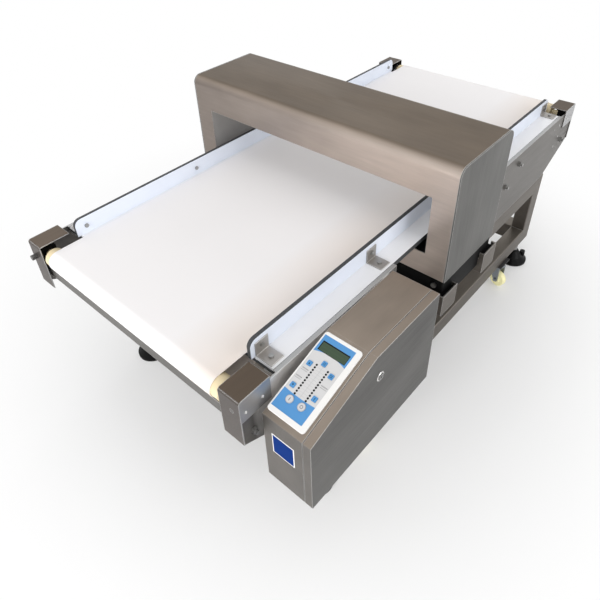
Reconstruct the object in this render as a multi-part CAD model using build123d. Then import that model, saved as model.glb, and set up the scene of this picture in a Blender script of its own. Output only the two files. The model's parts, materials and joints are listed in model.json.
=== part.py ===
from build123d import *
import math
import os

# Conveyor metal detector: a belt conveyor on a tube frame, a detector head round the belt,
# and a control box hung on the operator's side. Millimetres, +Z up, the belt runs along X,
# the operator stands at -Y. The origin is the middle of the outer box, on the floor.

os.makedirs("parts", exist_ok=True)

# Belt and conveyor
belt_height = 490.0          # top of the belt above the floor
conveyor_length = 1350.0     # over the end covers
belt_width = 500.0
belt_t = 1.5
running_gap = 0.3            # between a turning piece and what it runs in
seat_gap = 0.3               # between a moving piece and the piece that carries it
bearing_gap = 0.05           # radial, shaft in its bore
past = 1.0                   # a cut runs this far past the face it leaves

# End rollers and return idlers
roller_d = 42.0
roller_beside_belt = 18.0    # roller past the belt's edge
roller_end_setback = 22.5    # roller axis from the end of the conveyor
roller_shaft_d = 15.0
idler_d = 30.0
idler_beside_belt = 10.0
idler_shaft_d = 12.0
idler_to_head = 120.0        # idler axis from the face of the head
return_drop = 28.0           # top of the return strand below the belt top, inside the head
roller_edge = 1.5            # bevel round a roller's end
roller_shaft_short = 3.0     # shaft end inside the side plate
idler_edge = 1.0
idler_shaft_short = 1.0
dot_r = 3.0                  # pin hole in the roller's end
dot_depth = 4.0
dot_in = 13.0                # pin hole from the axis
dot_up = 6.0

# Slider bed and guides
bed_t = 12.0
bed_end_setback = 87.0       # bed end from the end of the conveyor
bed_edge = 2.0
guide_beside_belt = 9.0      # inner face of a guide from the belt's edge
guide_t = 8.0
guide_rise = 38.0            # top of a guide above the belt
guide_end_setback = 80.0
guide_corner_r = 15.0
bracket_w = 30.0
bracket_leg = 30.0
bracket_foot = 36.0
bracket_t = 2.0
bracket_end_setback = 105.0  # bracket from the end of the conveyor
bracket_to_head = 120.0      # bracket from the face of the head
bracket_hole_up = 18.0       # screw hole above the bed
bracket_hole_out = 21.5      # screw hole in the foot, from the guide
guide_screw_r = 2.5
guide_screw_head_r = 4.6
guide_screw_head_h = 2.8
guide_nut_h = 3.2
foot_screw_head_h = 3.4
foot_screw_depth = 9.0

# Side plates
plate_beside_belt = 68.0     # outer face from the belt's edge
plate_t = 3.0
plate_top_drop = 1.0         # top edge below the belt top
plate_drop_end = 103.0       # lower edge below the belt top, at the end
plate_drop_mid = 170.0
plate_slope_run = 140.0
plate_end_setback = 3.0
plate_flange = 30.0
plate_fold_w = 8.5           # the top edge, folded in
plate_fold_gap = 1.0         # between the top fold and the bed's edge
head_to_plate = 103.0        # the metal-free zone before and after the head

# End covers and bearings
cover_len = 69.0
cover_rise = 10.0            # cover top above the belt top
cover_beside_roller = 5.0    # cover's inner edge from the roller's end
cover_t = 2.0
cover_front_drop = 100.0
cover_cheek_drop = 42.0
cover_corner_r = 6.0
block_len = 34.0
block_h = 38.0
block_low = 20.0             # lower face of a bearing block below the roller's axis
block_t = 27.0
block_edge = 4.0
take_up_out = 12.0           # take-up screw in front of the cover
take_up_head_h = 6.0
take_up_nut_h = 5.0
strip_out = 14.5             # end strip in front of the roller's axis
strip_in = 22.0              # and behind it
strip_below = 2.5            # under the belt
strip_h = 24.0

# Studs along the side plates: run from the conveyor's end or the plate's edge at the head, and drop
stud_r = 4.0
stud_out = 11.0
stud_in = 12.0
stud_nut_r = 6.6
stud_nut_h = 6.0
spreader_r = 9.0
near_end_spreader = (25.0, 84.0)
near_head_spreader = (85.0, 112.0)
far_head_spreader = (73.0, 66.0)
far_end_spreader = (55.0, 84.0)
near_head_stud = (55.0, 78.0)
far_head_stud = (141.0, 30.0)

# Detector head
head_front = -142.0          # face towards the infeed
head_depth = 216.0
head_cheek = 53.0            # the head beside its tunnel
head_rise = 186.0            # head top above the belt top
head_drop = 88.0             # head bottom below the belt top
head_edge_r = 20.0
head_sheet = 2.0
end_plate_t = 3.0
aperture_beside_plate = 4.0  # tunnel wall outside the side plates
aperture_rise = 105.0
aperture_drop = 34.0
liner_t = 5.0
coil_w = 14.0
coil_h = 9.0
coil_pitch = 62.0
coil_corner_r = 12.0

# What the head stands on
base_h = 35.0
base_inset = 3.0
base_edge = 2.0
base_keel = 27.0             # the base between the channels, below the rest of it
base_keel_gap = 1.0          # from the keel to a channel
channel_w = 60.0
channel_h = 40.0
channel_t = 3.0
channel_beside_head = 10.0   # end of a channel from the head's end
channel_run = 14.0           # channel in front of the head's face
channel_gap = 7.0            # between channel and base, bridged by the rubber
channel_stop_len = 12.0      # end stop beyond the base
channel_stop_h = 16.0        # and above the channel's walls
pad_len = 60.0
pad_gap = 1.0                # between the rubber and the channel's end
base_screw_r = 4.0
base_screw_len = 12.0
base_screw_in = 22.0         # from the head's end
base_screw_up = 19.0         # above the base's underside
base_screw_head_r = 6.4
base_screw_head_h = 5.0

# Tube frame
tube = 50.0                  # the tube's side in the plane of a side frame
tube_depth = 40.0            # and across it
tube_wall = 2.0
tube_corner_r = 3.0
frame_near_setback = 170.0   # frame end from the end of the conveyor
frame_far_setback = 121.0
frame_bottom = 87.0          # underside of the lower rails above the floor
insert_r = 15.0
insert_h = 12.0

# Levelling feet and casters
foot_r = 42.0
foot_rim_h = 7.0
foot_step_r = 27.0           # where the dish turns up into the cone
foot_step_h = 17.0
foot_neck_r = 13.0
foot_cone_h = 38.0
foot_top_h = 41.0
foot_lug_r = 8.0
foot_lug_run = 29.0          # bolt lug from the middle of the foot
foot_lug_h = 30.0
foot_lug_turn = -45.0        # where the lug stands, in degrees from +X
foot_stud_r = 8.0
foot_stud_top = 118.0
foot_nut_af = 24.0
foot_nut_h = 9.0
caster_inboard = 146.0       # caster from the foot, along the rail
caster_plate = 58.0
caster_plate_t = 3.0
caster_wheel_r = 25.0
caster_wheel_w = 21.0
caster_wheel_edge = 4.0
caster_wheel_dish = 2.5      # the wheel's sides behind its hub
caster_hub_r = 11.0
caster_clear = 3.0           # wheel above the floor while the feet carry
caster_trail = 18.0
caster_turn = 75.0           # how the wheels were left, in degrees
caster_fork_t = 2.5
caster_fork_gap = 1.0        # between wheel and fork
caster_crown_t = 5.0
caster_crown_ahead = 16.0    # crown in front of the swivel pin
caster_cheek_r = 8.0
caster_cheek_low = 7.0       # cheek below the axle's middle
caster_toe = 4.8             # half the cheek's lower edge
caster_axle_r = 3.0
caster_axle_head_r = 5.2
caster_axle_head_t = 5.0
caster_head_r = 15.0
caster_head_h = 8.0
caster_pin_h = 9.0

# Drive
motor_drop = 100.0           # motor axis below the belt top
drive_centres = 248.0        # between the roller's axis and the motor's
drive_belt_w = 8.0
drive_belt_t = 2.5
pulley_rim_r = 16.0
pulley_flange_r = 19.0
pulley_flange_t = 1.2
pulley_w = 11.0
pulley_in_cover = 4.0        # middle of the pulleys from the cover's inner edge
motor_r = 38.0
motor_len = 120.0
gearbox_w = 76.0
gearbox_len = 60.0
motor_shaft_r = 7.0
motor_plate_t = 4.0
motor_plate_half = 48.0
motor_cap_len = 12.0
motor_cap_step = 3.0
gearbox_edge = 6.0
gearbox_gap = 12.0           # between gearbox and pulley
shaft_grip = 20.0            # shaft inside the gearbox
shaft_bore = 22.0
shaft_tail = 6.0             # shaft past the pulley

# Control box
box_standoff = 12.0          # between the side plate and the box
box_body_t = 84.0
box_seam = 1.0
box_door_t = 16.0
box_end_setback = 36.0       # the box's near end from the end of the conveyor
box_len = 360.0
box_slope_len = 168.0        # the sloping panel, seen from above
box_top_rise = 15.0
box_near_drop = 41.0
box_bottom_drop = 216.0
box_sheet = 1.8
box_lip = 12.0
box_edge_r = 2.0
hinge_r = 3.4
hinge_pin_r = 1.5
hinge_drop = 4.2
hinge_web_in = 0.2           # a knuckle's web inside the sheet it is welded to
hinge_len = 54.0
hinge_near_along = 39.0      # hinges from the box's near end
hinge_far_back = 93.0        # and from its far end
lock_along = 179.0           # lock from the box's near end
lock_drop = 41.0             # lock axis below the belt top
lock_ring_r = 10.0
lock_ring_t = 2.0
lock_ring_edge = 1.2
lock_plug_r = 7.0
lock_wall = 1.5
lock_sleeve_len = 14.0
lock_front = 3.0             # plug in front of the door
lock_slot_half = 4.0
lock_slot_w = 1.6
lock_slot_depth = 2.0
lock_cam_len = 48.0
lock_cam_half = 6.0
lock_cam_t = 2.0
lock_cam_edge = 4.0
lock_cam_gap = 1.6           # between the cam and the box's lip
hanger_w = 30.0
hanger_along = [45.0, 254.0]  # hangers from the box's near end
hanger_top_drop = 60.0
hanger_low_drop = 150.0
hanger_edge = 3.0
gland_far_along = 45.0       # cable gland from the box's far end
gland_r = 8.0
gland_hex_r = 14.0
gland_hex_h = 6.0
gland_dome_r = 11.0
gland_dome_h = 15.0
gland_dome_edge = 4.0
gland_bore_r = 4.0
gland_nut_h = 4.0
board_bend_in = 60.0         # board from the panel's bend
board_far_in = 30.0
board_low = 30.0
board_top = 170.0
board_t = 1.6
post_len = 8.0
post_r = 4.0
post_in = 8.0
supply_in = 24.0
supply_h = 46.0
supply_t = 30.0
chip_w = 22.0
chip_h = 28.0
chip_t = 6.4
chip_down = 22.0
chip_along = [20.0, 70.0, 130.0]

# Keypad, measured along and across the bezel from its near inner corner
bezel_len = 160.0
bezel_w = 77.5
bezel_t = 3.2
bezel_r = 6.0
bezel_edge = 0.8
bezel_near_margin = 10.5
bezel_inner_margin = 1.0
print_drop = 0.4             # the printed film below the bezel's rim
print_near = 9.0
print_far = 153.5
print_inner = 3.0
print_outer = 67.5
print_r = 3.0
ribbon_len = 40.0
ribbon_w = 20.0
key_travel = 0.6
key_t = 1.6
key_gap = 0.35
key_proud = 0.2              # a pressed key above the film
key_a = 9.0
key_r = 1.2
button_r = 7.0
lcd_len = 18.5
lcd_w = 56.0
lcd_along = 134.0
lcd_across = 35.3
key_places = {"key_up": (97.5, 12.5), "key_menu": (109.5, 34.5), "key_set": (98.0, 57.0),
              "key_down": (53.5, 12.5), "key_enter": (54.0, 57.5)}
button_places = {"button_start": (32.0, 23.5), "button_stop": (32.5, 48.0)}

# Derived places
end_x = conveyor_length / 2
plate_outer = belt_width / 2 + plate_beside_belt
roller_face = belt_width + 2 * roller_beside_belt
idler_face = belt_width + 2 * idler_beside_belt
guide_inner = belt_width / 2 + guide_beside_belt
bed_width = 2 * (plate_outer - plate_fold_w - plate_fold_gap)
cover_inner = roller_face / 2 + cover_beside_roller
pulley_y = cover_inner + pulley_in_cover
aperture_width = 2 * (plate_outer + aperture_beside_plate)
head_width = aperture_width + 2 * head_cheek
channel_out = head_width / 2 + channel_beside_head
roller_x = end_x - roller_end_setback
roller_r = roller_d / 2
roller_z = belt_height - belt_t - running_gap - roller_r
idler_r = idler_d / 2
idler_z = belt_height - return_drop - belt_t - running_gap - idler_r
head_back = head_front + head_depth
head_mid = (head_front + head_back) / 2
bed_top = belt_height - belt_t
bed_bottom = bed_top - bed_t
bed_half = end_x - bed_end_setback
plate_inner = plate_outer - plate_t
block_mid_y = plate_inner - block_t / 2
plate_end = end_x - plate_end_setback
plate_low = belt_height - plate_drop_mid
cover_top = belt_height + cover_rise
head_bottom = belt_height - head_drop
head_top = belt_height + head_rise
head_half = head_width / 2
base_bottom = head_bottom - base_h
channel_bottom = base_bottom - channel_gap - channel_h
tube_mid = plate_outer - tube_depth / 2
upper_top = channel_bottom
lower_top = frame_bottom + tube
frame_near_x = -end_x + frame_near_setback
frame_far_x = end_x - frame_far_setback
near_leg_x = frame_near_x + tube / 2
far_leg_x = frame_far_x - tube / 2
wheel_z = caster_clear + caster_wheel_r
near_head = head_front - head_to_plate
far_head = head_back + head_to_plate
near_idler_x = head_front - idler_to_head
far_idler_x = head_back + idler_to_head
bracket_places = [-end_x + bracket_end_setback, head_front - bracket_to_head,
                  head_back + bracket_to_head, end_x - bracket_end_setback]
spreader_places = [(-end_x + near_end_spreader[0], -near_end_spreader[1]),
                   (near_head - near_head_spreader[0], -near_head_spreader[1]),
                   (far_head + far_head_spreader[0], -far_head_spreader[1]),
                   (end_x - far_end_spreader[0], -far_end_spreader[1])]
short_stud_places = [(near_head - near_head_stud[0], -near_head_stud[1]),
                     (far_head + far_head_stud[0], -far_head_stud[1])]
box_inner = plate_outer + box_standoff
box_near = -end_x + box_end_setback
box_far = box_near + box_len
box_bend = box_near + box_slope_len
hinge_places = [box_near + hinge_near_along, box_far - hinge_far_back]
lock_x = box_near + lock_along
box_top = belt_height + box_top_rise
box_bottom = belt_height - box_bottom_drop
box_near_top = belt_height - box_near_drop
box_seam_y = -(box_inner + box_body_t)
door_in_y = box_seam_y - box_seam
door_out_y = door_in_y - box_door_t
belt_end_x = roller_x + roller_r + running_gap + belt_t

# The outer box runs from the take-up screw to the belt's far end, and from the lock to a channel's end
origin_x = (belt_end_x - end_x - take_up_out) / 2
origin_y = (channel_out + door_out_y - lock_front) / 2


def block(x0, x1, y0, y1, z0, z1):
    """A box between two corners."""
    return Pos((x0 + x1) / 2, (y0 + y1) / 2, (z0 + z1) / 2) * Box(x1 - x0, y1 - y0, z1 - z0)


def rod_x(x0, x1, y, z, r):
    return Pos((x0 + x1) / 2, y, z) * Rot(0, 90, 0) * Cylinder(r, x1 - x0)


def rod_y(y0, y1, x, z, r):
    return Pos(x, (y0 + y1) / 2, z) * Rot(90, 0, 0) * Cylinder(r, y1 - y0)


def rod_z(z0, z1, x, y, r):
    return Pos(x, y, (z0 + z1) / 2) * Cylinder(r, z1 - z0)


def hex_y(y0, y1, x, z, r):
    """A hexagon nut or head along Y, r to its corners."""
    prism = extrude(RegularPolygon(r, 6), (y1 - y0) / 2, both=True)
    return Pos(x, (y0 + y1) / 2, z) * Rot(90, 0, 0) * prism


def hex_x(x0, x1, y, z, r):
    prism = extrude(RegularPolygon(r, 6), (x1 - x0) / 2, both=True)
    return Pos((x0 + x1) / 2, y, z) * Rot(0, 90, 0) * prism


def hex_z(z0, z1, x, y, r):
    return Pos(x, y, (z0 + z1) / 2) * extrude(RegularPolygon(r, 6), (z1 - z0) / 2, both=True)


def side_profile(points, y0, y1):
    """A closed outline in X and Z, given a thickness in Y."""
    face = make_face(Polyline([(x, y0, z) for x, z in points], close=True))
    return extrude(face, y1 - y0, dir=(0, 1, 0))


def mirror_y(shape):
    return mirror(shape, about=Plane.XZ)


def both_sides(shape):
    return [shape, mirror_y(shape)]


def save(node, *solids):
    """Writes one node, moved so that the origin is the middle of the outer box."""
    placed = [Pos(-origin_x, -origin_y, 0) * solid for solid in solids]
    shape = placed[0] if len(placed) == 1 else Compound(children=placed)
    export_step(shape, f"parts/{node}.step")


def tangent_loop(circles, grow):
    """A belt's outline round circles (x, z, r, turn) in order, grown by the given distance.

    turn is +1 where the belt wraps a circle from outside and -1 where it is bent the other way.
    """
    count = len(circles)
    ends = []
    for i in range(count):
        xa, za, ra, ta = circles[i]
        xb, zb, rb, tb = circles[(i + 1) % count]
        ra, rb = ra + ta * grow, rb + tb * grow
        dx, dz = xb - xa, zb - za
        gap = math.hypot(dx, dz)
        along = math.atan2(dz, dx)
        lean = math.asin((ta * ra - tb * rb) / gap)
        normal = along + lean - math.pi / 2
        nx, nz = math.cos(normal), math.sin(normal)
        ends.append(((xa + ta * ra * nx, za + ta * ra * nz), (xb + tb * rb * nx, zb + tb * rb * nz)))
    edges = []
    for i in range(count):
        start = ends[i - 1][1]
        stop = ends[i][0]
        x, z, r, turn = circles[i]
        r = r + turn * grow
        a0 = math.atan2(start[1] - z, start[0] - x)
        a1 = math.atan2(stop[1] - z, stop[0] - x)
        sweep = (a1 - a0) % (2 * math.pi) if turn > 0 else -((a0 - a1) % (2 * math.pi))
        middle = a0 + sweep / 2
        edges.append(ThreePointArc((start[0], 0, start[1]),
                                   (x + r * math.cos(middle), 0, z + r * math.sin(middle)),
                                   (stop[0], 0, stop[1])))
        edges.append(Line((stop[0], 0, stop[1]), (ends[i][1][0], 0, ends[i][1][1])))
    return make_face(Wire(edges))


# Conveyor

def conveyor_belt():
    """An endless belt: over the bed, round both end rollers, and back over the idlers."""
    reach = running_gap
    bent = idler_r + reach + belt_t
    loop = [(-roller_x, roller_z, roller_r + reach, 1), (near_idler_x, idler_z, bent, -1),
            (far_idler_x, idler_z, bent, -1), (roller_x, roller_z, roller_r + reach, 1)]
    band = tangent_loop(loop, belt_t) - tangent_loop(loop, 0)
    return Pos(0, belt_width / 2, 0) * extrude(band, belt_width, dir=(0, -1, 0))


def end_roller(x, inward):
    """A nylon roller on its shaft, with stub ends in the bearing blocks and a pin hole in each end."""
    body = rod_y(-roller_face / 2, roller_face / 2, x, roller_z, roller_r)
    body = chamfer(body.edges().filter_by(GeomType.CIRCLE), roller_edge)
    shaft_end = plate_inner - roller_shaft_short
    roller = body + rod_y(-shaft_end, shaft_end, x, roller_z, roller_shaft_d / 2)
    for side in (-1, 1):
        y = side * roller_face / 2
        dot_x = x - inward * dot_in
        roller = roller - rod_y(y - dot_depth, y + dot_depth, dot_x, roller_z + dot_up, dot_r)
    return roller


def idler(x):
    """A bright roller that lifts the return strand, its shaft ends in the side plates."""
    body = rod_y(-idler_face / 2, idler_face / 2, x, idler_z, idler_r)
    body = chamfer(body.edges().filter_by(GeomType.CIRCLE), idler_edge)
    shaft_end = plate_outer - idler_shaft_short
    return body + rod_y(-shaft_end, shaft_end, x, idler_z, idler_shaft_d / 2)


def slider_bed():
    """The white plate that carries the belt and the guides, through the head in one length."""
    bed = block(-bed_half, bed_half, -bed_width / 2, bed_width / 2, bed_bottom, bed_top)
    bed = chamfer(bed.edges().filter_by(Axis.Y), bed_edge)
    for x in bracket_places:
        for side in (-1, 1):
            hole = rod_z(bed_top - foot_screw_depth, bed_top + past, x, side * bracket_foot_y(),
                         guide_screw_r + bearing_gap)
            bed = bed - hole
    return bed


def guide():
    """An upright strip beside the belt, with round upper corners."""
    reach = end_x - guide_end_setback
    outer = guide_inner + guide_t
    strip = block(-reach, reach, guide_inner, outer, bed_top, belt_height + guide_rise)
    tops = strip.edges().filter_by(Axis.Y).group_by(Axis.Z)[-1]
    strip = fillet(tops, guide_corner_r)
    hole_r = guide_screw_r + bearing_gap
    for x in bracket_places:
        strip = strip - rod_y(guide_inner - past, outer + past, x, bracket_hole_z(), hole_r)
    return strip


def bracket_hole_z():
    return bed_top + bracket_hole_up


def bracket_foot_y():
    return guide_inner + guide_t + bracket_hole_out


def guide_brackets():
    """Folded angles that hold each guide to the bed."""
    made = []
    outer = guide_inner + guide_t
    for x in bracket_places:
        x0, x1 = x - bracket_w / 2, x + bracket_w / 2
        leg = block(x0, x1, outer, outer + bracket_t, bed_top, bed_top + bracket_leg)
        foot = block(x0, x1, outer, outer + bracket_foot, bed_top, bed_top + bracket_t)
        angle = leg + foot
        hole_r = guide_screw_r + bearing_gap
        angle = angle - rod_y(outer - past, outer + bracket_t + past, x, bracket_hole_z(), hole_r)
        angle = angle - rod_z(bed_top - past, bed_top + bracket_t + past, x, bracket_foot_y(), hole_r)
        made.extend(both_sides(angle))
    return made


def guide_screws():
    """Screws through the guides with nuts behind, and screws down into the bed."""
    made = []
    outer = guide_inner + guide_t + bracket_t
    top = bed_top + bracket_t
    for x in bracket_places:
        z = bracket_hole_z()
        shank = rod_y(guide_inner, outer, x, z, guide_screw_r)
        head = rod_y(guide_inner - guide_screw_head_h, guide_inner, x, z, guide_screw_head_r)
        nut = hex_y(outer, outer + guide_nut_h, x, z, guide_screw_head_r)
        made.extend(both_sides(shank + head + nut))
        cap = rod_z(top, top + foot_screw_head_h, x, bracket_foot_y(), guide_screw_head_r)
        stem = rod_z(bed_top - foot_screw_depth, top, x, bracket_foot_y(), guide_screw_r)
        made.extend(both_sides(cap + stem))
    return made


def side_plate(x_end, x_head):
    """A folded plate: upright web, a fold beside the bed, a ledge under it, and a flange on the frame."""
    out = math.copysign(1, x_end)
    x_corner = x_end - out * plate_slope_run
    plate_top = belt_height - plate_top_drop
    outline = [(x_end, plate_top), (x_end, belt_height - plate_drop_end), (x_corner, plate_low),
               (x_head, plate_low), (x_head, plate_top)]
    web = side_profile(outline, plate_inner, plate_outer)
    lo, hi = sorted((out * bed_half, x_head))
    top = block(lo, hi, plate_outer - plate_flange, plate_outer, bed_bottom - plate_t, bed_bottom)
    top = top + block(lo, hi, bed_width / 2 + plate_fold_gap, plate_outer, plate_top - plate_t, plate_top)
    lo, hi = sorted((x_corner, x_head))
    foot = block(lo, hi, plate_outer - plate_flange, plate_outer, plate_low, plate_low + plate_t)
    plate = web + top + foot
    idler_x = near_idler_x if out < 0 else far_idler_x
    bore_r = idler_shaft_d / 2 + bearing_gap
    plate = plate - rod_y(plate_inner - past, plate_outer + past, idler_x, idler_z, bore_r)
    for x, drop in spreader_places + short_stud_places:
        if min(x_end, x_head) < x < max(x_end, x_head):
            bore_r = stud_r + bearing_gap
            plate = plate - rod_y(plate_inner - past, plate_outer + past, x, belt_height + drop, bore_r)
    return both_sides(plate)


def end_cover(out, side, screw):
    """A cap over the bearing: top, front wall and a cheek outside the side plate."""
    x0, x1 = sorted((out * end_x, out * (end_x - cover_len)))
    y_out = plate_outer + seat_gap + cover_t
    low = belt_height - cover_front_drop
    cap = block(x0, x1, cover_inner, y_out, low, cover_top)
    front = cap.edges().filter_by(Axis.Y).sort_by_distance((out * end_x, 0, cover_top))[0]
    cap = fillet(front, cover_corner_r)
    room0, room1 = sorted((out * (end_x - cover_t), out * (end_x - cover_len - past)))
    cap = cap - block(room0, room1, cover_inner - past, y_out - cover_t, low - past, cover_top - cover_t)
    cheek_low = belt_height - cover_cheek_drop
    cap = cap - block(room0, room1, y_out - cover_t - past, y_out + past, low - past, cheek_low)
    if screw:
        wall0, wall1 = sorted((out * (end_x + past), out * (end_x - cover_t - past)))
        cap = cap - rod_x(wall0, wall1, block_mid_y, roller_z, stud_r + bearing_gap)
    return cap if side > 0 else mirror_y(cap)


def bearing_blocks():
    """Four blocks inside the side plates; each carries one shaft end."""
    made = []
    low = roller_z - block_low
    for x in (-roller_x, roller_x):
        x0, x1 = x - block_len / 2, x + block_len / 2
        body = block(x0, x1, plate_inner - block_t, plate_inner, low, low + block_h)
        body = chamfer(body.edges().filter_by(Axis.Y), block_edge)
        bore_r = roller_shaft_d / 2 + bearing_gap
        body = body - rod_y(plate_inner - block_t - past, plate_inner + past, x, roller_z, bore_r)
        made.extend(both_sides(body))
    return made


def take_up_screws():
    """The screws that push the tail roller's blocks: hexagon head on the left, flush on the right."""
    inner = -roller_x - block_len / 2
    tip = -end_x - take_up_out
    head = hex_x(tip, tip + take_up_head_h, block_mid_y, roller_z, stud_nut_r)
    nut = hex_x(-end_x - take_up_nut_h, -end_x, block_mid_y, roller_z, stud_nut_r)
    left = rod_x(tip, inner, block_mid_y, roller_z, stud_r) + head + nut
    right = rod_x(-end_x, inner, -block_mid_y, roller_z, stud_r)
    return [left, right]


def spreader_bars():
    """Round bars that hold the two side plates apart."""
    return [rod_y(-plate_inner, plate_inner, x, belt_height + drop, spreader_r)
            for x, drop in spreader_places]


def side_studs():
    """Studs and nuts that stand out of the side plates."""
    made = []
    for x, drop in spreader_places + short_stud_places:
        z = belt_height + drop
        long_one = (x, drop) in spreader_places
        inner = plate_inner if long_one else plate_inner - stud_in
        stud = rod_y(inner, plate_outer + stud_out, x, z, stud_r)
        nut = hex_y(plate_outer, plate_outer + stud_nut_h, x, z, stud_nut_r)
        piece = stud + nut
        if not long_one:
            piece = piece + hex_y(plate_inner - stud_nut_h, plate_inner, x, z, stud_nut_r)
        made.extend(both_sides(piece))
    return made


def end_strip():
    """A folded strip across the conveyor under the tail roller."""
    top_z = roller_z - roller_r - running_gap - belt_t - strip_below
    x_in = -roller_x + strip_in
    x_out = -roller_x - strip_out
    top = block(x_out, x_in, -plate_inner, plate_inner, top_z - cover_t, top_z)
    return top + block(x_out, x_out + cover_t, -plate_inner, plate_inner, top_z - strip_h, top_z)


# Drive

def motor_z():
    return belt_height - motor_drop


def motor_x():
    return roller_x - math.sqrt(drive_centres ** 2 - (motor_z() - roller_z) ** 2)


def pulley(x, z, bore_r):
    """A flanged pulley with a plain rim."""
    half = pulley_w / 2
    flange = half - pulley_flange_t
    outline = [(bore_r, -half), (pulley_flange_r, -half), (pulley_flange_r, -flange), (pulley_rim_r, -flange),
               (pulley_rim_r, flange), (pulley_flange_r, flange), (pulley_flange_r, half), (bore_r, half)]
    wheel = revolve(make_face(Polyline([(r, 0, y) for r, y in outline], close=True)), Axis.Z)
    return Pos(x, pulley_y, z) * Rot(90, 0, 0) * wheel


def drive_belt():
    """The flat belt from the motor's pulley up to the roller's."""
    reach = pulley_rim_r + running_gap
    loop = [(motor_x(), motor_z(), reach, 1), (roller_x, roller_z, reach, 1)]
    band = tangent_loop(loop, drive_belt_t) - tangent_loop(loop, 0)
    return Pos(0, pulley_y + drive_belt_w / 2, 0) * extrude(band, drive_belt_w, dir=(0, -1, 0))


def gearbox_face():
    return pulley_y - pulley_w / 2 - gearbox_gap


def gear_motor():
    """A round motor on a square gearbox, across the conveyor, its shaft towards the side plate."""
    x, z = motor_x(), motor_z()
    face = gearbox_face()
    half = gearbox_w / 2
    can_end = face - gearbox_len - motor_len
    box = block(x - half, x + half, face - gearbox_len, face, z - half, z + half)
    box = fillet(box.edges().filter_by(Axis.Y), gearbox_edge)
    can = rod_y(can_end, face - gearbox_len, x, z, motor_r)
    cap = rod_y(can_end - motor_cap_len, can_end, x, z, motor_r - motor_cap_step)
    return box + can + cap - rod_y(face - shaft_bore, face + past, x, z, motor_shaft_r + bearing_gap)


def motor_shaft():
    tail = pulley_y + pulley_w / 2 + shaft_tail
    return rod_y(gearbox_face() - shaft_grip, tail, motor_x(), motor_z(), motor_shaft_r)


def motor_bracket():
    """A shelf under the gearbox, turned down beside the side plate onto its flange."""
    x0, x1 = motor_x() - motor_plate_half, motor_x() + motor_plate_half
    z0 = motor_z() - gearbox_w / 2
    shelf = block(x0, x1, gearbox_face() - gearbox_len, plate_inner, z0 - motor_plate_t, z0)
    return shelf + block(x0, x1, plate_inner - motor_plate_t, plate_inner, plate_low + plate_t, z0)


# Detector head

def head_outline(grow):
    """The head's section in X and Z: an upright rectangle with round long top edges."""
    points = [(head_front - grow, head_bottom - grow), (head_back + grow, head_bottom - grow),
              (head_back + grow, head_top + grow), (head_front - grow, head_top + grow)]
    outline = side_profile(points, -1, 1)
    tops = outline.edges().filter_by(Axis.Y).group_by(Axis.Z)[-1]
    return fillet(tops, head_edge_r + grow)


def head_slab(grow, y0, y1):
    face = head_outline(grow).faces().sort_by(Axis.Y)[0]
    return Pos(0, y0 + 1, 0) * extrude(face, y1 - y0, dir=(0, 1, 0))


def aperture(grow, x0, x1):
    return block(x0, x1, -aperture_width / 2 - grow, aperture_width / 2 + grow,
                 belt_height - aperture_drop - grow, belt_height + aperture_rise + grow)


def head_shell():
    """Folded sheet round the head, open at both ends, with a window in front and back."""
    half = head_half - end_plate_t
    shell = head_slab(0, -half, half) - head_slab(-head_sheet, -half - past, half + past)
    return shell - aperture(0, head_front - past, head_back + past)


def head_end_plate():
    return head_slab(0, head_half - end_plate_t, head_half)


def tunnel_liner():
    """The tube that lines the tunnel between the front and back sheets."""
    x0, x1 = head_front + head_sheet, head_back - head_sheet
    return aperture(liner_t, x0, x1) - aperture(0, x0 - past, x1 + past)


def coil(x):
    """One winding, a closed frame round the liner."""
    x0, x1 = x - coil_w / 2, x + coil_w / 2
    outer = aperture(liner_t + coil_h, x0, x1)
    outer = fillet(outer.edges().filter_by(Axis.X), coil_corner_r)
    return outer - aperture(liner_t, x0 - past, x1 + past)


def base_screw_places():
    """The screws in the base's front and back, as face, direction outwards, and place across."""
    y = head_half - base_screw_in
    return [(x, out, side * y) for x, out in ((head_front, -1), (head_back, 1)) for side in (-1, 1)]


def head_base():
    """The black base under the head, with a keel that drops between the channels."""
    half = head_half - base_inset
    slab = block(head_front, head_back, -half, half, base_bottom, head_bottom)
    slab = chamfer(slab.edges().filter_by(Axis.Z), base_edge)
    (_, keel0), (keel1, _) = channel_places()
    keel_low = base_bottom - base_keel
    slab = slab + block(keel0 + base_keel_gap, keel1 - base_keel_gap, -half, half, keel_low, base_bottom)
    for x, out, y in base_screw_places():
        ends = sorted((x - out * base_screw_len, x + out * past))
        slab = slab - rod_x(*ends, y, base_bottom + base_screw_up, base_screw_r)
    return slab


def base_screws():
    made = []
    z = base_bottom + base_screw_up
    for x, out, y in base_screw_places():
        shank = rod_x(*sorted((x - out * base_screw_len, x)), y, z, base_screw_r)
        made.append(shank + hex_x(*sorted((x, x + out * base_screw_head_h)), y, z, base_screw_head_r))
    return made


def channel_places():
    front = head_front - channel_run
    back = head_back + channel_run
    return [(front, front + channel_w), (back - channel_w, back)]


def head_channel(x0, x1):
    """A channel across the frame, open upwards, with a taller end at each side that stops the base."""
    wall_top = channel_bottom + channel_h
    outer = block(x0, x1, -channel_out, channel_out, channel_bottom, wall_top)
    low = outer.edges().filter_by(Axis.Y).group_by(Axis.Z)[0]
    outer = fillet(low, channel_t)
    stop_in = channel_out - channel_stop_len
    stop = block(x0, x1, stop_in, channel_out, wall_top - channel_t, wall_top + channel_stop_h)
    outer = outer + stop + mirror_y(stop)
    room = channel_out - channel_t
    return outer - block(x0 + channel_t, x1 - channel_t, -room, room,
                         channel_bottom + channel_t, wall_top + channel_stop_h + past)


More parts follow.
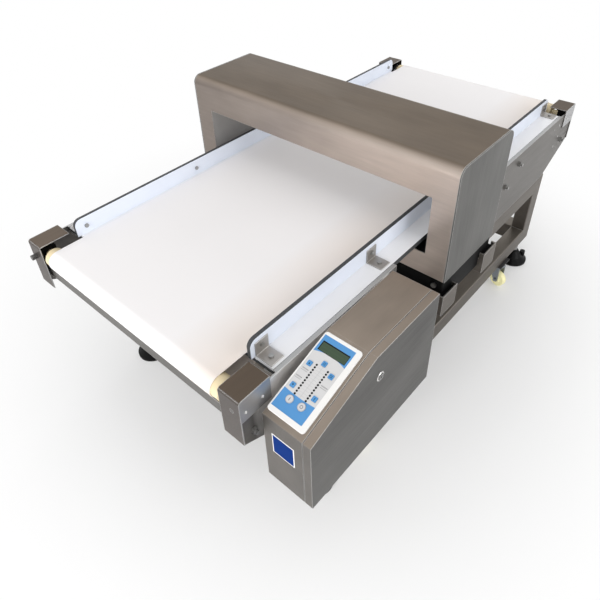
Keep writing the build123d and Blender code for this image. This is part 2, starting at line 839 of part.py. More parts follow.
def head_pads():
    """Rubber blocks in the channel ends, which carry the base."""
    made = []
    y1 = channel_out - channel_t - pad_gap
    for x0, x1 in channel_places():
        pad = block(x0 + channel_t, x1 - channel_t, y1 - pad_len, y1, channel_bottom + channel_t, base_bottom)
        made.extend(both_sides(pad))
    return made


# Tube frame

def tube_profile(across):
    outer = RectangleRounded(tube, across, tube_corner_r)
    return outer - Rectangle(tube - 2 * tube_wall, across - 2 * tube_wall)


def mitre_cut(x, z, out, up):
    """A wedge that takes everything past a corner's diagonal, outside and above or below."""
    far = 3 * tube
    diagonal = Plane(origin=(x, tube_mid, z), z_dir=(out, 0, up))
    return diagonal * Pos(0, 0, far) * Box(4 * far, 4 * far, 2 * far)


def side_frame():
    """Upper and lower rail and two legs, mitred at the corners, with threaded inserts for the feet."""
    corners_x = ((-1, near_leg_x), (1, far_leg_x))
    rails_z = ((1, upper_top - tube / 2), (-1, frame_bottom + tube / 2))
    rail = Rot(0, 90, 0) * extrude(tube_profile(tube_depth), (frame_far_x - frame_near_x) / 2, both=True)
    leg = extrude(tube_profile(tube_depth), (upper_top - frame_bottom) / 2, both=True)
    pieces = []
    for up, z in rails_z:
        piece = Pos((frame_near_x + frame_far_x) / 2, tube_mid, z) * rail
        for out, x in corners_x:
            piece = piece - mitre_cut(x, z, out, -up)
            if up < 0:
                floor = frame_bottom + tube_wall
                piece = piece + rod_z(floor - tube_wall / 2, floor + insert_h, x, tube_mid, insert_r)
                bore_r = foot_stud_r + bearing_gap
                piece = piece - rod_z(frame_bottom - past, floor + insert_h + past, x, tube_mid, bore_r)
        pieces.append(piece)
    for out, x in corners_x:
        piece = Pos(x, tube_mid, (upper_top + frame_bottom) / 2) * leg
        for up, z in rails_z:
            piece = piece - mitre_cut(x, z, -out, up)
        pieces.append(piece)
    return pieces


def cross_rails():
    """Square tubes across the frame at both ends, up and down."""
    rail = Rot(90, 0, 0) * extrude(tube_profile(tube), tube_mid - tube_depth / 2, both=True)
    heights = (upper_top - tube / 2, frame_bottom + tube / 2)
    return [Pos(x, 0, z) * rail for x in (near_leg_x, far_leg_x) for z in heights]


def foot(x, y):
    """A levelling foot's pad: a black dish that rises to a cone, with a bolt lug on its rim."""
    outline = [(0, 0), (foot_r, 0), (foot_r, foot_rim_h), (foot_step_r, foot_step_h),
               (foot_neck_r, foot_cone_h), (foot_stud_r, foot_top_h), (0, foot_top_h)]
    cone = revolve(make_face(Polyline([(r, 0, z) for r, z in outline], close=True)), Axis.Z)
    lug = Rot(0, 0, foot_lug_turn) * Pos(foot_lug_run, 0, foot_lug_h / 2) * Cylinder(foot_lug_r, foot_lug_h)
    return Pos(x, y, 0) * (cone + lug)


def foot_stud(x, y):
    return rod_z(foot_top_h, foot_stud_top, x, y, foot_stud_r)


def foot_nut(x, y):
    nut_z = frame_bottom - foot_nut_h
    nut = hex_z(nut_z, frame_bottom, x, y, foot_nut_af / math.sqrt(3))
    return nut - rod_z(nut_z - past, frame_bottom + past, x, y, foot_stud_r + bearing_gap)


# Casters, each built with its swivel pin on the origin and its wheel behind it at -X

def caster_plate_with_pin():
    plate_low_z = frame_bottom - caster_plate_t
    half = caster_plate / 2
    plate = block(-half, half, -half, half, plate_low_z, frame_bottom)
    race = rod_z(plate_low_z - caster_head_h, plate_low_z, 0, 0, caster_head_r)
    return plate + race + rod_z(plate_low_z - caster_head_h - caster_pin_h, plate_low_z, 0, 0, caster_axle_r)


def caster_fork():
    """A pressed fork: a crown on the swivel pin, two cheeks and the axle between them."""
    crown_top = frame_bottom - caster_plate_t - caster_head_h - seat_gap
    crown_low = crown_top - caster_crown_t
    inner = caster_wheel_w / 2 + caster_fork_gap
    outer = inner + caster_fork_t
    back = -caster_trail - caster_cheek_r
    fork = block(back, caster_crown_ahead, -outer, outer, crown_low, crown_top)
    cheek_low = wheel_z - caster_cheek_low
    outline = [(caster_crown_ahead, crown_top), (back, crown_top), (back, wheel_z),
               (-caster_trail - caster_toe, cheek_low), (-caster_trail + caster_toe, cheek_low),
               (-caster_trail + caster_cheek_r, wheel_z)]
    for y0, y1 in ((-outer, -inner), (inner, outer)):
        fork = fork + side_profile(outline, y0, y1)
    fork = fork - rod_z(crown_low - past, crown_top + past, 0, 0, caster_axle_r + bearing_gap)
    fork = fork + rod_y(-outer, outer, -caster_trail, wheel_z, caster_axle_r)
    for y0, y1 in ((-outer - caster_axle_head_t, -outer), (outer, outer + caster_axle_head_t)):
        fork = fork + hex_y(y0, y1, -caster_trail, wheel_z, caster_axle_head_r)
    return fork


def caster_wheel():
    """A moulded wheel: a tread with bevelled edges, sides that fall in from it, and a hub."""
    half = caster_wheel_w / 2
    bore = caster_axle_r + bearing_gap
    tread = half - caster_wheel_edge
    sink = half - caster_wheel_dish
    side = [(bore, half), (caster_hub_r, half), (caster_hub_r + caster_wheel_dish, sink),
            (caster_wheel_r - caster_wheel_edge / 2, sink), (caster_wheel_r, tread)]
    outline = [(r, -y) for r, y in side] + list(reversed(side))
    wheel = revolve(make_face(Polyline([(r, 0, y) for r, y in outline], close=True)), Axis.Z)
    return Pos(-caster_trail, 0, wheel_z) * Rot(90, 0, 0) * wheel


# Control box

def box_points(grow):
    """The box's outline in X and Z, with a sloping panel at the near end."""
    lean = math.atan2(box_top - box_near_top, box_bend - box_near)
    tip = grow * math.tan(math.radians(45) - lean / 2)
    bend = grow * math.tan(lean / 2)
    near, far = box_near - grow, box_far + grow
    low, top = box_bottom - grow, box_top + grow
    return [(near, low), (near, box_near_top + tip), (box_bend - bend, top), (far, top), (far, low)]


def box_body():
    """The box itself: sheet walls, open towards the operator, with a lip round the mouth."""
    body = side_profile(box_points(0), box_seam_y, -box_inner)
    body = fillet(body.edges().filter_by(Axis.Y).group_by(Axis.X)[0], box_edge_r)
    body = body - side_profile(box_points(-box_sheet), box_seam_y + box_sheet, -box_inner - box_sheet)
    mouth = side_profile(box_points(-box_sheet - box_lip), box_seam_y - past, box_seam_y + box_sheet + past)
    body = body - mouth
    for x in hinge_places:
        body = body + knuckle(x, x + hinge_len / 3, box_seam_y + hinge_r)
        body = body + knuckle(x + 2 * hinge_len / 3, x + hinge_len, box_seam_y + hinge_r)
    gland_x, gland_y = gland_place()
    hole = rod_z(box_bottom - past, box_bottom + box_sheet + past, gland_x, gland_y, gland_r + bearing_gap)
    return body - hinge_bores() - keypad_window() - hole


def knuckle(x0, x1, y_leaf):
    """One barrel of a hinge under the box, with the web that joins it to its leaf."""
    z = box_bottom - hinge_drop
    gap = seat_gap / 2
    barrel = rod_x(x0 + gap, x1 - gap, hinge_y(), z, hinge_r)
    lo, hi = sorted((hinge_y(), y_leaf))
    web = block(x0 + gap, x1 - gap, lo, hi, z, box_bottom + hinge_web_in)
    clear = block(x0, x1, *sorted((hinge_y(), 2 * hinge_y() - y_leaf)), z, box_bottom + past)
    return barrel + (web - clear)


def hinge_y():
    return (box_seam_y + door_in_y) / 2


def hinge_bores():
    z = box_bottom - hinge_drop
    r = hinge_pin_r + bearing_gap
    near, far = [rod_x(x - past, x + hinge_len + past, hinge_y(), z, r) for x in hinge_places]
    return near + far


def hinge_pins():
    z = box_bottom - hinge_drop
    return [rod_x(x, x + hinge_len, hinge_y(), z, hinge_pin_r) for x in hinge_places]


def lock_z():
    return belt_height - lock_drop


def box_door():
    """The door: a shallow tray hinged along the bottom, with a quarter-turn lock near its top."""
    door = side_profile(box_points(0), door_out_y, door_in_y)
    door = fillet(door.edges().filter_by(Axis.Y).group_by(Axis.X)[0], box_edge_r)
    door = door - side_profile(box_points(-box_sheet), door_out_y + box_sheet, door_in_y + past)
    for x in hinge_places:
        door = door + knuckle(x + hinge_len / 3, x + 2 * hinge_len / 3, door_in_y - hinge_r)
    door = door - hinge_bores()
    sleeve_r = lock_plug_r + lock_wall
    return door - rod_y(door_out_y - past, door_out_y + box_sheet + past, lock_x, lock_z(), sleeve_r)


def lock_ring():
    """The lock's housing, clamped in the door: a flange outside and a sleeve inside."""
    flange = rod_y(door_out_y - lock_ring_t, door_out_y, lock_x, lock_z(), lock_ring_r)
    flange = chamfer(flange.edges().filter_by(GeomType.CIRCLE).sort_by(Axis.Y)[0], lock_ring_edge)
    sleeve_end = door_out_y + lock_sleeve_len
    sleeve = rod_y(door_out_y, sleeve_end, lock_x, lock_z(), lock_plug_r + lock_wall)
    bore_r = lock_plug_r + bearing_gap
    bore = rod_y(door_out_y - lock_ring_t - past, sleeve_end + past, lock_x, lock_z(), bore_r)
    return flange + sleeve - bore


def cam_lock():
    """The plug with its key slot, and the cam behind the box's lip."""
    y0 = door_out_y - lock_front
    y1 = box_seam_y + box_sheet + lock_cam_gap
    z = lock_z()
    plug = rod_y(y0, y1, lock_x, z, lock_plug_r)
    plug = plug - block(lock_x - lock_slot_half, lock_x + lock_slot_half, y0 - past, y0 + lock_slot_depth,
                        z - lock_slot_w / 2, z + lock_slot_w / 2)
    cam = block(lock_x - lock_cam_half, lock_x + lock_cam_len, y1, y1 + lock_cam_t,
                z - lock_cam_half, z + lock_cam_half)
    return plug + chamfer(cam.edges().filter_by(Axis.Y), lock_cam_edge)


def gland_place():
    return box_far - gland_far_along, -(box_inner + box_body_t / 2)


def cable_gland():
    """A gland in the box's floor, open for the supply cord, and the nut that holds it from inside."""
    x, y = gland_place()
    floor = box_bottom + box_sheet
    hex_low = box_bottom - gland_hex_h
    dome = rod_z(hex_low - gland_dome_h, hex_low, x, y, gland_dome_r)
    dome = chamfer(dome.edges().filter_by(GeomType.CIRCLE).sort_by(Axis.Z)[0], gland_dome_edge)
    top = floor + 2 * gland_nut_h
    body = dome + hex_z(hex_low, box_bottom, x, y, gland_hex_r) + rod_z(box_bottom, top, x, y, gland_r)
    body = body - rod_z(hex_low - gland_dome_h - past, top + past, x, y, gland_bore_r)
    nut = hex_z(floor, floor + gland_nut_h, x, y, gland_hex_r)
    return [body, nut - rod_z(floor - past, floor + gland_nut_h + past, x, y, gland_r + bearing_gap)]


def slope_place(along, across, up):
    """A place on the sloping panel: along it from the near end, across it, and above it."""
    lean = math.degrees(math.atan2(box_top - box_near_top, box_bend - box_near))
    return Pos(box_near, -box_inner - across, box_near_top) * Rot(0, -lean, 0) * Pos(along, 0, up)


def bezel_mid():
    return bezel_near_margin + bezel_len / 2, bezel_inner_margin + bezel_w / 2


def keypad_window():
    """The opening in the panel under the keypad, for its ribbon."""
    along, across = bezel_mid()
    return slope_place(along, across, 0) * Box(ribbon_len, ribbon_w, 4 * box_sheet)


def on_bezel(along, across, up):
    """A place on the bezel's own plate, from its near inner corner."""
    return Pos(along - bezel_len / 2, bezel_w / 2 - across, up)


def keypad_bezel():
    """The white keypad frame, with a sunk film and a pocket for every key and the display."""
    along, across = bezel_mid()
    plate = extrude(RectangleRounded(bezel_len, bezel_w, bezel_r), bezel_t)
    plate = chamfer(plate.edges().group_by(Axis.Z)[-1], bezel_edge)
    film = RectangleRounded(print_far - print_near, print_outer - print_inner, print_r)
    film_mid = on_bezel((print_near + print_far) / 2, (print_inner + print_outer) / 2, bezel_t - print_drop)
    plate = plate - film_mid * extrude(film, print_drop + past)
    low = bezel_t - key_t
    deep = key_t + past
    square = RectangleRounded(key_a + 2 * key_gap, key_a + 2 * key_gap, key_r + key_gap)
    for a, c in key_places.values():
        plate = plate - on_bezel(a, c, low) * extrude(square, deep)
    for a, c in button_places.values():
        plate = plate - on_bezel(a, c, low) * extrude(Circle(button_r + key_gap), deep)
    plate = plate - on_bezel(lcd_along, lcd_across, low) * extrude(Rectangle(lcd_len, lcd_w), deep)
    return slope_place(along, across, 0) * plate


def keypad_cap(a, c, outline):
    """One key's cap, from above its pocket's floor by its travel to just proud of the film."""
    low = bezel_t - key_t + key_travel + seat_gap
    top = bezel_t - print_drop + key_travel + key_proud
    return slope_place(bezel_near_margin + a, bezel_inner_margin + c, low) * extrude(outline, top - low)


def display():
    place = slope_place(bezel_near_margin + lcd_along, bezel_inner_margin + lcd_across, bezel_t - key_t)
    return place * extrude(Rectangle(lcd_len, lcd_w), key_t - print_drop)


def circuit_board():
    """The electronics: a board on four posts against the box's back wall."""
    wall_y = -box_inner - box_sheet
    board_y = wall_y - post_len
    front_y = board_y - board_t
    x0, x1 = box_bend - board_bend_in, box_far - board_far_in
    z0, z1 = box_bottom + board_low, box_bottom + board_top
    board = block(x0, x1, front_y, board_y, z0, z1)
    for x in (x0 + post_in, x1 - post_in):
        for z in (z0 + post_in, z1 - post_in):
            board = board + rod_y(board_y, wall_y, x, z, post_r)
    board = board + block(x0 + supply_in, x1 - supply_in, front_y - supply_t, front_y,
                          z0 + supply_in, z0 + supply_in + supply_h)
    for run in chip_along:
        top = z1 - chip_down
        board = board + block(x0 + run, x0 + run + chip_w, front_y - chip_t, front_y, top - chip_h, top)
    return board


def box_brackets():
    """Two spacers that hang the box on the side plate."""
    made = []
    for x in [box_near + along for along in hanger_along]:
        spacer = block(x, x + hanger_w, -box_inner, -plate_outer,
                       belt_height - hanger_low_drop, belt_height - hanger_top_drop)
        made.append(chamfer(spacer.edges().filter_by(Axis.Y), hanger_edge))
    return made


# Build and save every node

save("conveyor_belt", conveyor_belt())
save("tail_roller", end_roller(-roller_x, 1))
save("drive_roller", end_roller(roller_x, -1))
save("infeed_idler", idler(near_idler_x))
save("outfeed_idler", idler(far_idler_x))
save("slider_bed", slider_bed())
save("side_guides", *both_sides(guide()))
save("guide_brackets", *guide_brackets())
save("guide_screws", *guide_screws())
save("side_plates", *side_plate(-plate_end, near_head), *side_plate(plate_end, far_head))
covers = [end_cover(out, side, out < 0) for out in (-1, 1) for side in (-1, 1)]
save("end_covers", *covers)
save("bearing_blocks", *bearing_blocks())
save("take_up_screws", *take_up_screws())
save("spreader_bars", *spreader_bars())
save("side_studs", *side_studs())
save("end_strip", end_strip())
save("gear_motor", gear_motor())
save("motor_shaft", motor_shaft())
save("motor_bracket", motor_bracket())
save("motor_pulley", pulley(motor_x(), motor_z(), motor_shaft_r))
save("roller_pulley", pulley(roller_x, roller_z, roller_shaft_d / 2))
save("drive_belt", drive_belt())
save("head_shell", head_shell())
save("head_end_plates", *both_sides(head_end_plate()))
save("tunnel_liner", tunnel_liner())
save("head_coils", *[coil(head_mid + i * coil_pitch) for i in (-1, 0, 1)])
save("head_base", head_base())
save("base_screws", *base_screws())
save("head_channels", *[head_channel(x0, x1) for x0, x1 in channel_places()])
save("head_pads", *head_pads())
frame = side_frame()
save("side_frames", *frame, *[mirror_y(piece) for piece in frame])
save("cross_rails", *cross_rails())
corners = {"near_left": (-1, 1), "near_right": (-1, -1), "far_left": (1, 1), "far_right": (1, -1)}
feet = [(near_leg_x if out < 0 else far_leg_x, side * tube_mid) for out, side in corners.values()]
save("foot_pads", *[foot(x, y) for x, y in feet])
save("foot_studs", *[make(x, y) for x, y in feet for make in (foot_stud, foot_nut)])
caster_pins = {name: Pos(x - math.copysign(caster_inboard, x), y, 0) for name, (x, y) in zip(corners, feet)}
for name, pin in caster_pins.items():
    save(f"caster_fork_{name}", pin * Rot(0, 0, caster_turn) * caster_fork())
    save(f"caster_wheel_{name}", pin * Rot(0, 0, caster_turn) * caster_wheel())
save("caster_plates", *[pin * caster_plate_with_pin() for pin in caster_pins.values()])
save("box_body", box_body())
save("box_door", box_door())
save("hinge_pins", *hinge_pins())
save("lock_ring", lock_ring())
save("cam_lock", cam_lock())
save("cable_gland", *cable_gland())
save("keypad_bezel", keypad_bezel())
save("display", display())
save("circuit_board", circuit_board())
save("box_brackets", *box_brackets())
for name, (a, c) in key_places.items():
    save(name, keypad_cap(a, c, RectangleRounded(key_a, key_a, key_r)))
for name, (a, c) in button_places.items():
    save(name, keypad_cap(a, c, Circle(button_r)))
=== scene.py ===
import json
import math

import bmesh
import bpy
import numpy as np
from mathutils import Matrix, Vector


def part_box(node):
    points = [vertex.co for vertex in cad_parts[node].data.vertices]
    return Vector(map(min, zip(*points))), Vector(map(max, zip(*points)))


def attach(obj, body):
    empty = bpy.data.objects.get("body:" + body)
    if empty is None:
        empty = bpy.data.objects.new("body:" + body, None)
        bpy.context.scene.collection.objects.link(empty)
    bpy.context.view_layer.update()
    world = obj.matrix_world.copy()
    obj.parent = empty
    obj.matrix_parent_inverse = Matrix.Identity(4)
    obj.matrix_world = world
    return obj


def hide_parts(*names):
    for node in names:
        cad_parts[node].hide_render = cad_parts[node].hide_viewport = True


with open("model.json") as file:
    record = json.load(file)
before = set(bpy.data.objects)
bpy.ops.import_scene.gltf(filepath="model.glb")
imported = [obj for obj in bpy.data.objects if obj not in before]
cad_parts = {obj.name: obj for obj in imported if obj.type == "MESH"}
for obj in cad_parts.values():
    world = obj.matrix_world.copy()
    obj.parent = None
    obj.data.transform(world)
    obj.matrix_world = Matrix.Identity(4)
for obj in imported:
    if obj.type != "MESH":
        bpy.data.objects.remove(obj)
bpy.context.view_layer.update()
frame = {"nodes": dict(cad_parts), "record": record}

bl_info = {
    "name": "Conveyor metal detector",
    "version": (1, 0, 0),
    "blender": (4, 5, 0),
    "location": "3D View > Sidebar > Metal detector",
    "description": "Finishes and fine pieces of a conveyor metal detector",
    "category": "Object",
}

# The belt's centre line and running surface, from which the other places are measured
BELT_LOW, BELT_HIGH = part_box("conveyor_belt")
CENTRE_X = (BELT_LOW.x + BELT_HIGH.x) / 2
CENTRE_Y = (BELT_LOW.y + BELT_HIGH.y) / 2
BELT_TOP = BELT_HIGH.z
BOX_LOW, BOX_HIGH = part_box("box_body")
HEAD_LOW, HEAD_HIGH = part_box("head_shell")
MM = 0.001


def at(x, y, z):
    """A place given in millimetres from the belt's centre and top, in metres in the frame."""
    return np.array([CENTRE_X + x * MM, CENTRE_Y + y * MM, BELT_TOP + z * MM])


# Settings

def colour_of(name, description, default):
    """A colour that a user may change."""
    return bpy.props.FloatVectorProperty(name=name, description=description, default=default,
                                         subtype="COLOR", size=3)


def share_of(name, description, default):
    """A share that a user may change."""
    return bpy.props.FloatProperty(name=name, description=description, default=default,
                                   subtype="FACTOR", min=0, max=1)


class BeltSettings(bpy.types.PropertyGroup):
    thickness: bpy.props.FloatProperty(name="Thickness", description="Belt thickness",
                                       default=0.0015, unit="LENGTH")
    surface: colour_of("Surface", "Running surface", (0.87, 0.85, 0.85))
    # Painted warm shade on the belt beside the operator's guide
    painted_warm_shade: colour_of("Worn edge", "Belt beside the operator's guide", (0.79, 0.71, 0.65))


class SteelSettings(bpy.types.PropertyGroup):
    # Each sheet has a colour for faces that look up (level), along the belt (end) and across it
    # (side): painted light and shade, one steel made lighter or darker by how the light falls on
    # each facing
    head_level: colour_of("Head, top", "Head where it looks up", (0.15, 0.118, 0.088))
    head_end: colour_of("Head, faces", "Head beside the tunnel's mouths", (0.40, 0.34, 0.30))
    head_side: colour_of("Head, ends", "Plates on the head's two ends", (0.125, 0.124, 0.118))
    box_level: colour_of("Box, top", "Control box where it looks up", (0.275, 0.23, 0.19))
    box_end: colour_of("Box, ends", "Control box, faces along the belt", (0.15, 0.138, 0.126))
    box_side: colour_of("Box, door", "Control box, the door's face", (0.103, 0.101, 0.096))
    cover_level: colour_of("Covers, top", "End covers where they look up", (0.105, 0.080, 0.060))
    cover_end: colour_of("Covers, front", "Covers, faces along the belt", (0.12, 0.105, 0.096))
    cover_side: colour_of("Covers, cheeks", "Covers beside the conveyor", (0.43, 0.43, 0.435))
    plate_level: colour_of("Side plates, folds", "Folds that look up", (0.42, 0.42, 0.42))
    plate_side: colour_of("Side plates", "Upright side plates", (0.165, 0.157, 0.148))
    # Painted reflection: near white on the upright faces in the gap between box and side plate
    polished: colour_of("Polished", "Gap between box and side plate", (0.97, 0.95, 0.93))
    tube_level: colour_of("Frame, level", "Square tube where it looks up", (0.20, 0.18, 0.155))
    tube_side: colour_of("Frame, upright", "Upright faces of the tube", (0.135, 0.12, 0.104))
    bracket_level: colour_of("Angles, level", "Angles' level legs", (0.40, 0.38, 0.36))
    bracket_end: colour_of("Angles, ends", "Angles' edges along the belt", (0.38, 0.36, 0.34))
    bracket_side: colour_of("Angles, upright", "Angles' upright legs", (0.42, 0.40, 0.38))
    # Painted highlight: pale colour laid along the sheet's edges where the normal turns
    edge: colour_of("Edges", "Worn and reflecting edges of the sheet", (0.62, 0.61, 0.60))
    bright: colour_of("Bright parts", "Screws, studs and shafts", (0.52, 0.52, 0.51))
    dull: colour_of("Dull screws", "Take-up screws", (0.17, 0.165, 0.16))
    zinc: colour_of("Forks", "Zinc of the caster forks", (0.34, 0.37, 0.40))
    chrome: colour_of("Lock", "Plating of the lock", (0.62, 0.61, 0.60))
    aluminium: colour_of("Pulleys", "Pulleys of the drive", (0.62, 0.62, 0.63))
    copper: colour_of("Windings", "Windings in the head", (0.62, 0.26, 0.12))
    roughness: share_of("Roughness", "Roughness of the brushed sheet", 0.42)


class PlasticSettings(bpy.types.PropertyGroup):
    guide: colour_of("Guides", "Faces of the side guides", (0.80, 0.85, 0.95))
    bed: colour_of("Bed", "Slider bed beside the guides", (0.81, 0.81, 0.825))
    core: colour_of("Core", "Cut edges of guides and bed", (0.033, 0.035, 0.038))
    nylon: colour_of("Nylon", "End rollers", (0.74, 0.62, 0.40))
    wheel: colour_of("Wheels", "Caster wheels", (0.93, 0.88, 0.50))
    liner: colour_of("Tunnel", "Lining of the tunnel", (0.34, 0.325, 0.31))
    black: colour_of("Black", "Feet, base and rubber", (0.004, 0.004, 0.004))
    motor: colour_of("Motor", "Paint of the motor", (0.16, 0.17, 0.18))
    caster: colour_of("Caster plates", "Paint of the caster plates", (0.02, 0.02, 0.022))
    board: colour_of("Board", "Circuit board in the box", (0.02, 0.12, 0.05))


class KeypadSettings(bpy.types.PropertyGroup):
    blue: colour_of("Blue", "Printed fields", (0.088, 0.265, 0.535))
    key: colour_of("Keys", "Square keys", (0.085, 0.27, 0.54))
    button: colour_of("Buttons", "Round keys", (0.55, 0.55, 0.56))
    field: colour_of("Field", "Middle of the keypad", (0.57, 0.565, 0.565))
    border: colour_of("Border", "Rim of the keypad", (0.76, 0.75, 0.735))
    glass: colour_of("Display", "Display glass", (0.052, 0.08, 0.05))
    # Printed ink; the display's dark rim takes this colour too, as painted shade
    ink_and_rim_shade: colour_of("Ink", "Dots and marks", (0.006, 0.006, 0.007))
    plate: colour_of("Plate", "Bare plate on the box", (0.004, 0.028, 0.16))


class StageSettings(bpy.types.PropertyGroup):
    lens: bpy.props.FloatProperty(name="Lens", description="Focal length on a 36 mm sensor",
                                  default=33.8, unit="CAMERA")
    ambient: share_of("Ambient", "Strength of the surrounding light", 0.45)
    lamps: share_of("Lamps", "Power of every lamp, as a share", 0.6)


# Meshes

def new_object(name, data):
    """An object that holds the data, in the scene."""
    obj = bpy.data.objects.new(name, data)
    bpy.context.scene.collection.objects.link(obj)
    return obj


def keep_object(name, mesh, body, material, smooth=True):
    """A finished mesh becomes an object at the origin that rides on a body."""
    if smooth:
        mesh.polygons.foreach_set("use_smooth", np.ones(len(mesh.polygons), bool))
    obj = new_object(name, mesh)
    mesh.materials.append(material)
    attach(obj, body)
    return obj


def grid_mesh(name, points, close_u=True, close_v=True):
    """A surface P(u, v) given as an array of rows (u) by columns (v); each cell is one face."""
    nu, nv = points.shape[:2]
    iu = np.arange(nu if close_u else nu - 1)
    iv = np.arange(nv if close_v else nv - 1)
    a, b = np.meshgrid(iu, iv, indexing="ij")
    a2, b2 = (a + 1) % nu, (b + 1) % nv
    corners = (a * nv + b, a2 * nv + b, a2 * nv + b2, a * nv + b2)
    faces = np.stack(corners, axis=-1).reshape(-1, 4)
    mesh = bpy.data.meshes.new(name)
    mesh.from_pydata(points.reshape(-1, 3).tolist(), [], faces.tolist())
    mesh.update()
    return mesh


def axes_for(direction):
    """Two unit vectors square to a direction, right-handed with it."""
    d = np.array(direction, float)
    d = d / np.linalg.norm(d)
    helper = np.array([0.0, 0.0, 1.0]) if abs(d[2]) < 0.9 else np.array([1.0, 0.0, 0.0])
    u = np.cross(helper, d)
    u = u / np.linalg.norm(u)
    return u, np.cross(d, u), d


def turned(profile, origin, direction, steps):
    """P(t, a) = O + h(t) D + r(t) (cos a U + sin a V): radius r and height h about an axis."""
    u, v, d = axes_for(direction)
    r, h = np.array(profile, float).T
    a = np.linspace(0, 2 * math.pi, steps, endpoint=False)
    ring = np.cos(a)[None, :, None] * u + np.sin(a)[None, :, None] * v
    return np.array(origin)[None, None, :] + h[:, None, None] * d + r[:, None, None] * ring


def joined(name, arrays, close_u=False):
    """Several surfaces in one mesh, doubles merged so that poles are closed."""
    bm = bmesh.new()
    for points in arrays:
        part = grid_mesh(name + "_part", points, close_u=close_u)
        bm.from_mesh(part)
        bpy.data.meshes.remove(part)
    bmesh.ops.remove_doubles(bm, verts=bm.verts, dist=1e-6)
    bmesh.ops.recalc_face_normals(bm, faces=bm.faces)
    mesh = bpy.data.meshes.new(name)
    bm.to_mesh(mesh)
    bm.free()
    return mesh


# Nodes that the materials are made of

def new_material(name):
    """A material and its node tree."""
    material = bpy.data.materials.new(name)
    material.use_nodes = True
    return material, material.node_tree


def feed(tree, node, inputs):
    """Each input is linked where its value comes out of a node, and set otherwise."""
    for key, value in inputs.items():
        if isinstance(value, bpy.types.NodeSocket):
            tree.links.new(value, node.inputs[key])
        else:
            node.inputs[key].default_value = value


def finished(material, inputs):
    """The material, once its shader has its inputs."""
    tree = material.node_tree
    feed(tree, tree.nodes["Principled BSDF"], inputs)
    return material


def add(tree, kind, inputs=None, **settings):
    """A new node with its settings and inputs."""
    node = tree.nodes.new(kind)
    for key, value in settings.items():
        setattr(node, key, value)
    feed(tree, node, inputs or {})
    return node


def maths(tree, operation, *values):
    """One operation on up to three values."""
    inputs = dict(enumerate(values))
    return add(tree, "ShaderNodeMath", inputs, operation=operation).outputs[0]


def product(tree, first, *others):
    """Values multiplied together, such as masks that all have to be 1."""
    for other in others:
        first = maths(tree, "MULTIPLY", first, other)
    return first


def length(tree, a, b):
    """The root of a^2 + b^2."""
    squares = maths(tree, "MULTIPLY_ADD", a, a, maths(tree, "MULTIPLY", b, b))
    return maths(tree, "SQRT", squares)


def vector_node(tree, operation, inputs):
    """One operation on vectors."""
    return add(tree, "ShaderNodeVectorMath", inputs, operation=operation)


def scaled(tree, vector, factor):
    """A colour or place times a number."""
    return vector_node(tree, "SCALE", {0: vector, "Scale": factor}).outputs[0]


def parts_of(tree, vector):
    """The x, y and z of a vector."""
    return tuple(add(tree, "ShaderNodeSeparateXYZ", {0: vector}).outputs)


def object_place(tree):
    """Where a point lies in the frame at rest, because each piece's object is at the origin."""
    return add(tree, "ShaderNodeTexCoord").outputs["Object"]


def looks_along(tree, axis):
    """How far a face looks along an axis of its own piece: the square of its normal's part."""
    normal = add(tree, "ShaderNodeTexCoord").outputs["Normal"]
    part = parts_of(tree, normal)["XYZ".index(axis)]
    return maths(tree, "MULTIPLY", part, part)


def noise(tree, place, scale, detail, rough=0.5, shares=(1, 1, 1)):
    """Noise at a scale per metre, times a share of it along each axis."""
    mapped = add(tree, "ShaderNodeMapping",
                 {"Vector": place, "Scale": tuple(scale * share for share in shares)})
    inputs = {"Vector": mapped.outputs[0], "Scale": 1.0, "Detail": detail, "Roughness": rough}
    return add(tree, "ShaderNodeTexNoise", inputs).outputs["Fac"]


def spread(tree, value, low, high, to_low=0.0, to_high=1.0):
    """A straight line from to_low where the value is low to to_high where it is high."""
    inputs = {"Value": value, "From Min": low, "From Max": high,
              "To Min": to_low, "To Max": to_high}
    return add(tree, "ShaderNodeMapRange", inputs).outputs[0]


def between(tree, value, low, high, soft=0.15):
    """1 where low < value < high, with a soft edge of that half width."""
    up = spread(tree, value, low - soft, low + soft)
    down = spread(tree, value, high + soft, high - soft)
    return product(tree, up, down)


def rgba(tone):
    """A colour as a socket takes it, or the socket that it comes from."""
    return tone if isinstance(tone, bpy.types.NodeSocket) else (*tone[:3], 1)


def blend_colour(tree, amount, a, b):
    """a (1 - amount) + b amount."""
    inputs = {0: amount, 6: rgba(a), 7: rgba(b)}
    return add(tree, "ShaderNodeMix", inputs, data_type="RGBA").outputs[2]


def shade(tone, factor):
    """A colour times a number, held at white."""
    return tuple(min(1.0, part * factor) for part in tone)


NOISE_RANGE = (0.3, 0.7)         # nearly all of a noise lies between these


def varied(tree, amount, low, high):
    """A number that a noise takes from low to high."""
    return spread(tree, amount, *NOISE_RANGE, low, high)


def mottled(tree, amount, tone, low, high):
    """A colour that a noise takes from tone x low to tone x high."""
    return blend_colour(tree, varied(tree, amount, 0.0, 1.0), shade(tone, low), shade(tone, high))


def relief(tree, height, strength, distance, over=None):
    """The normal of a surface raised by height x distance, on top of another normal."""
    inputs = {"Height": height, "Strength": strength, "Distance": distance}
    if over is not None:
        inputs["Normal"] = over
    return add(tree, "ShaderNodeBump", inputs).outputs[0]


# Finishes of steel. A noise's scale is per metre, a depth is in metres

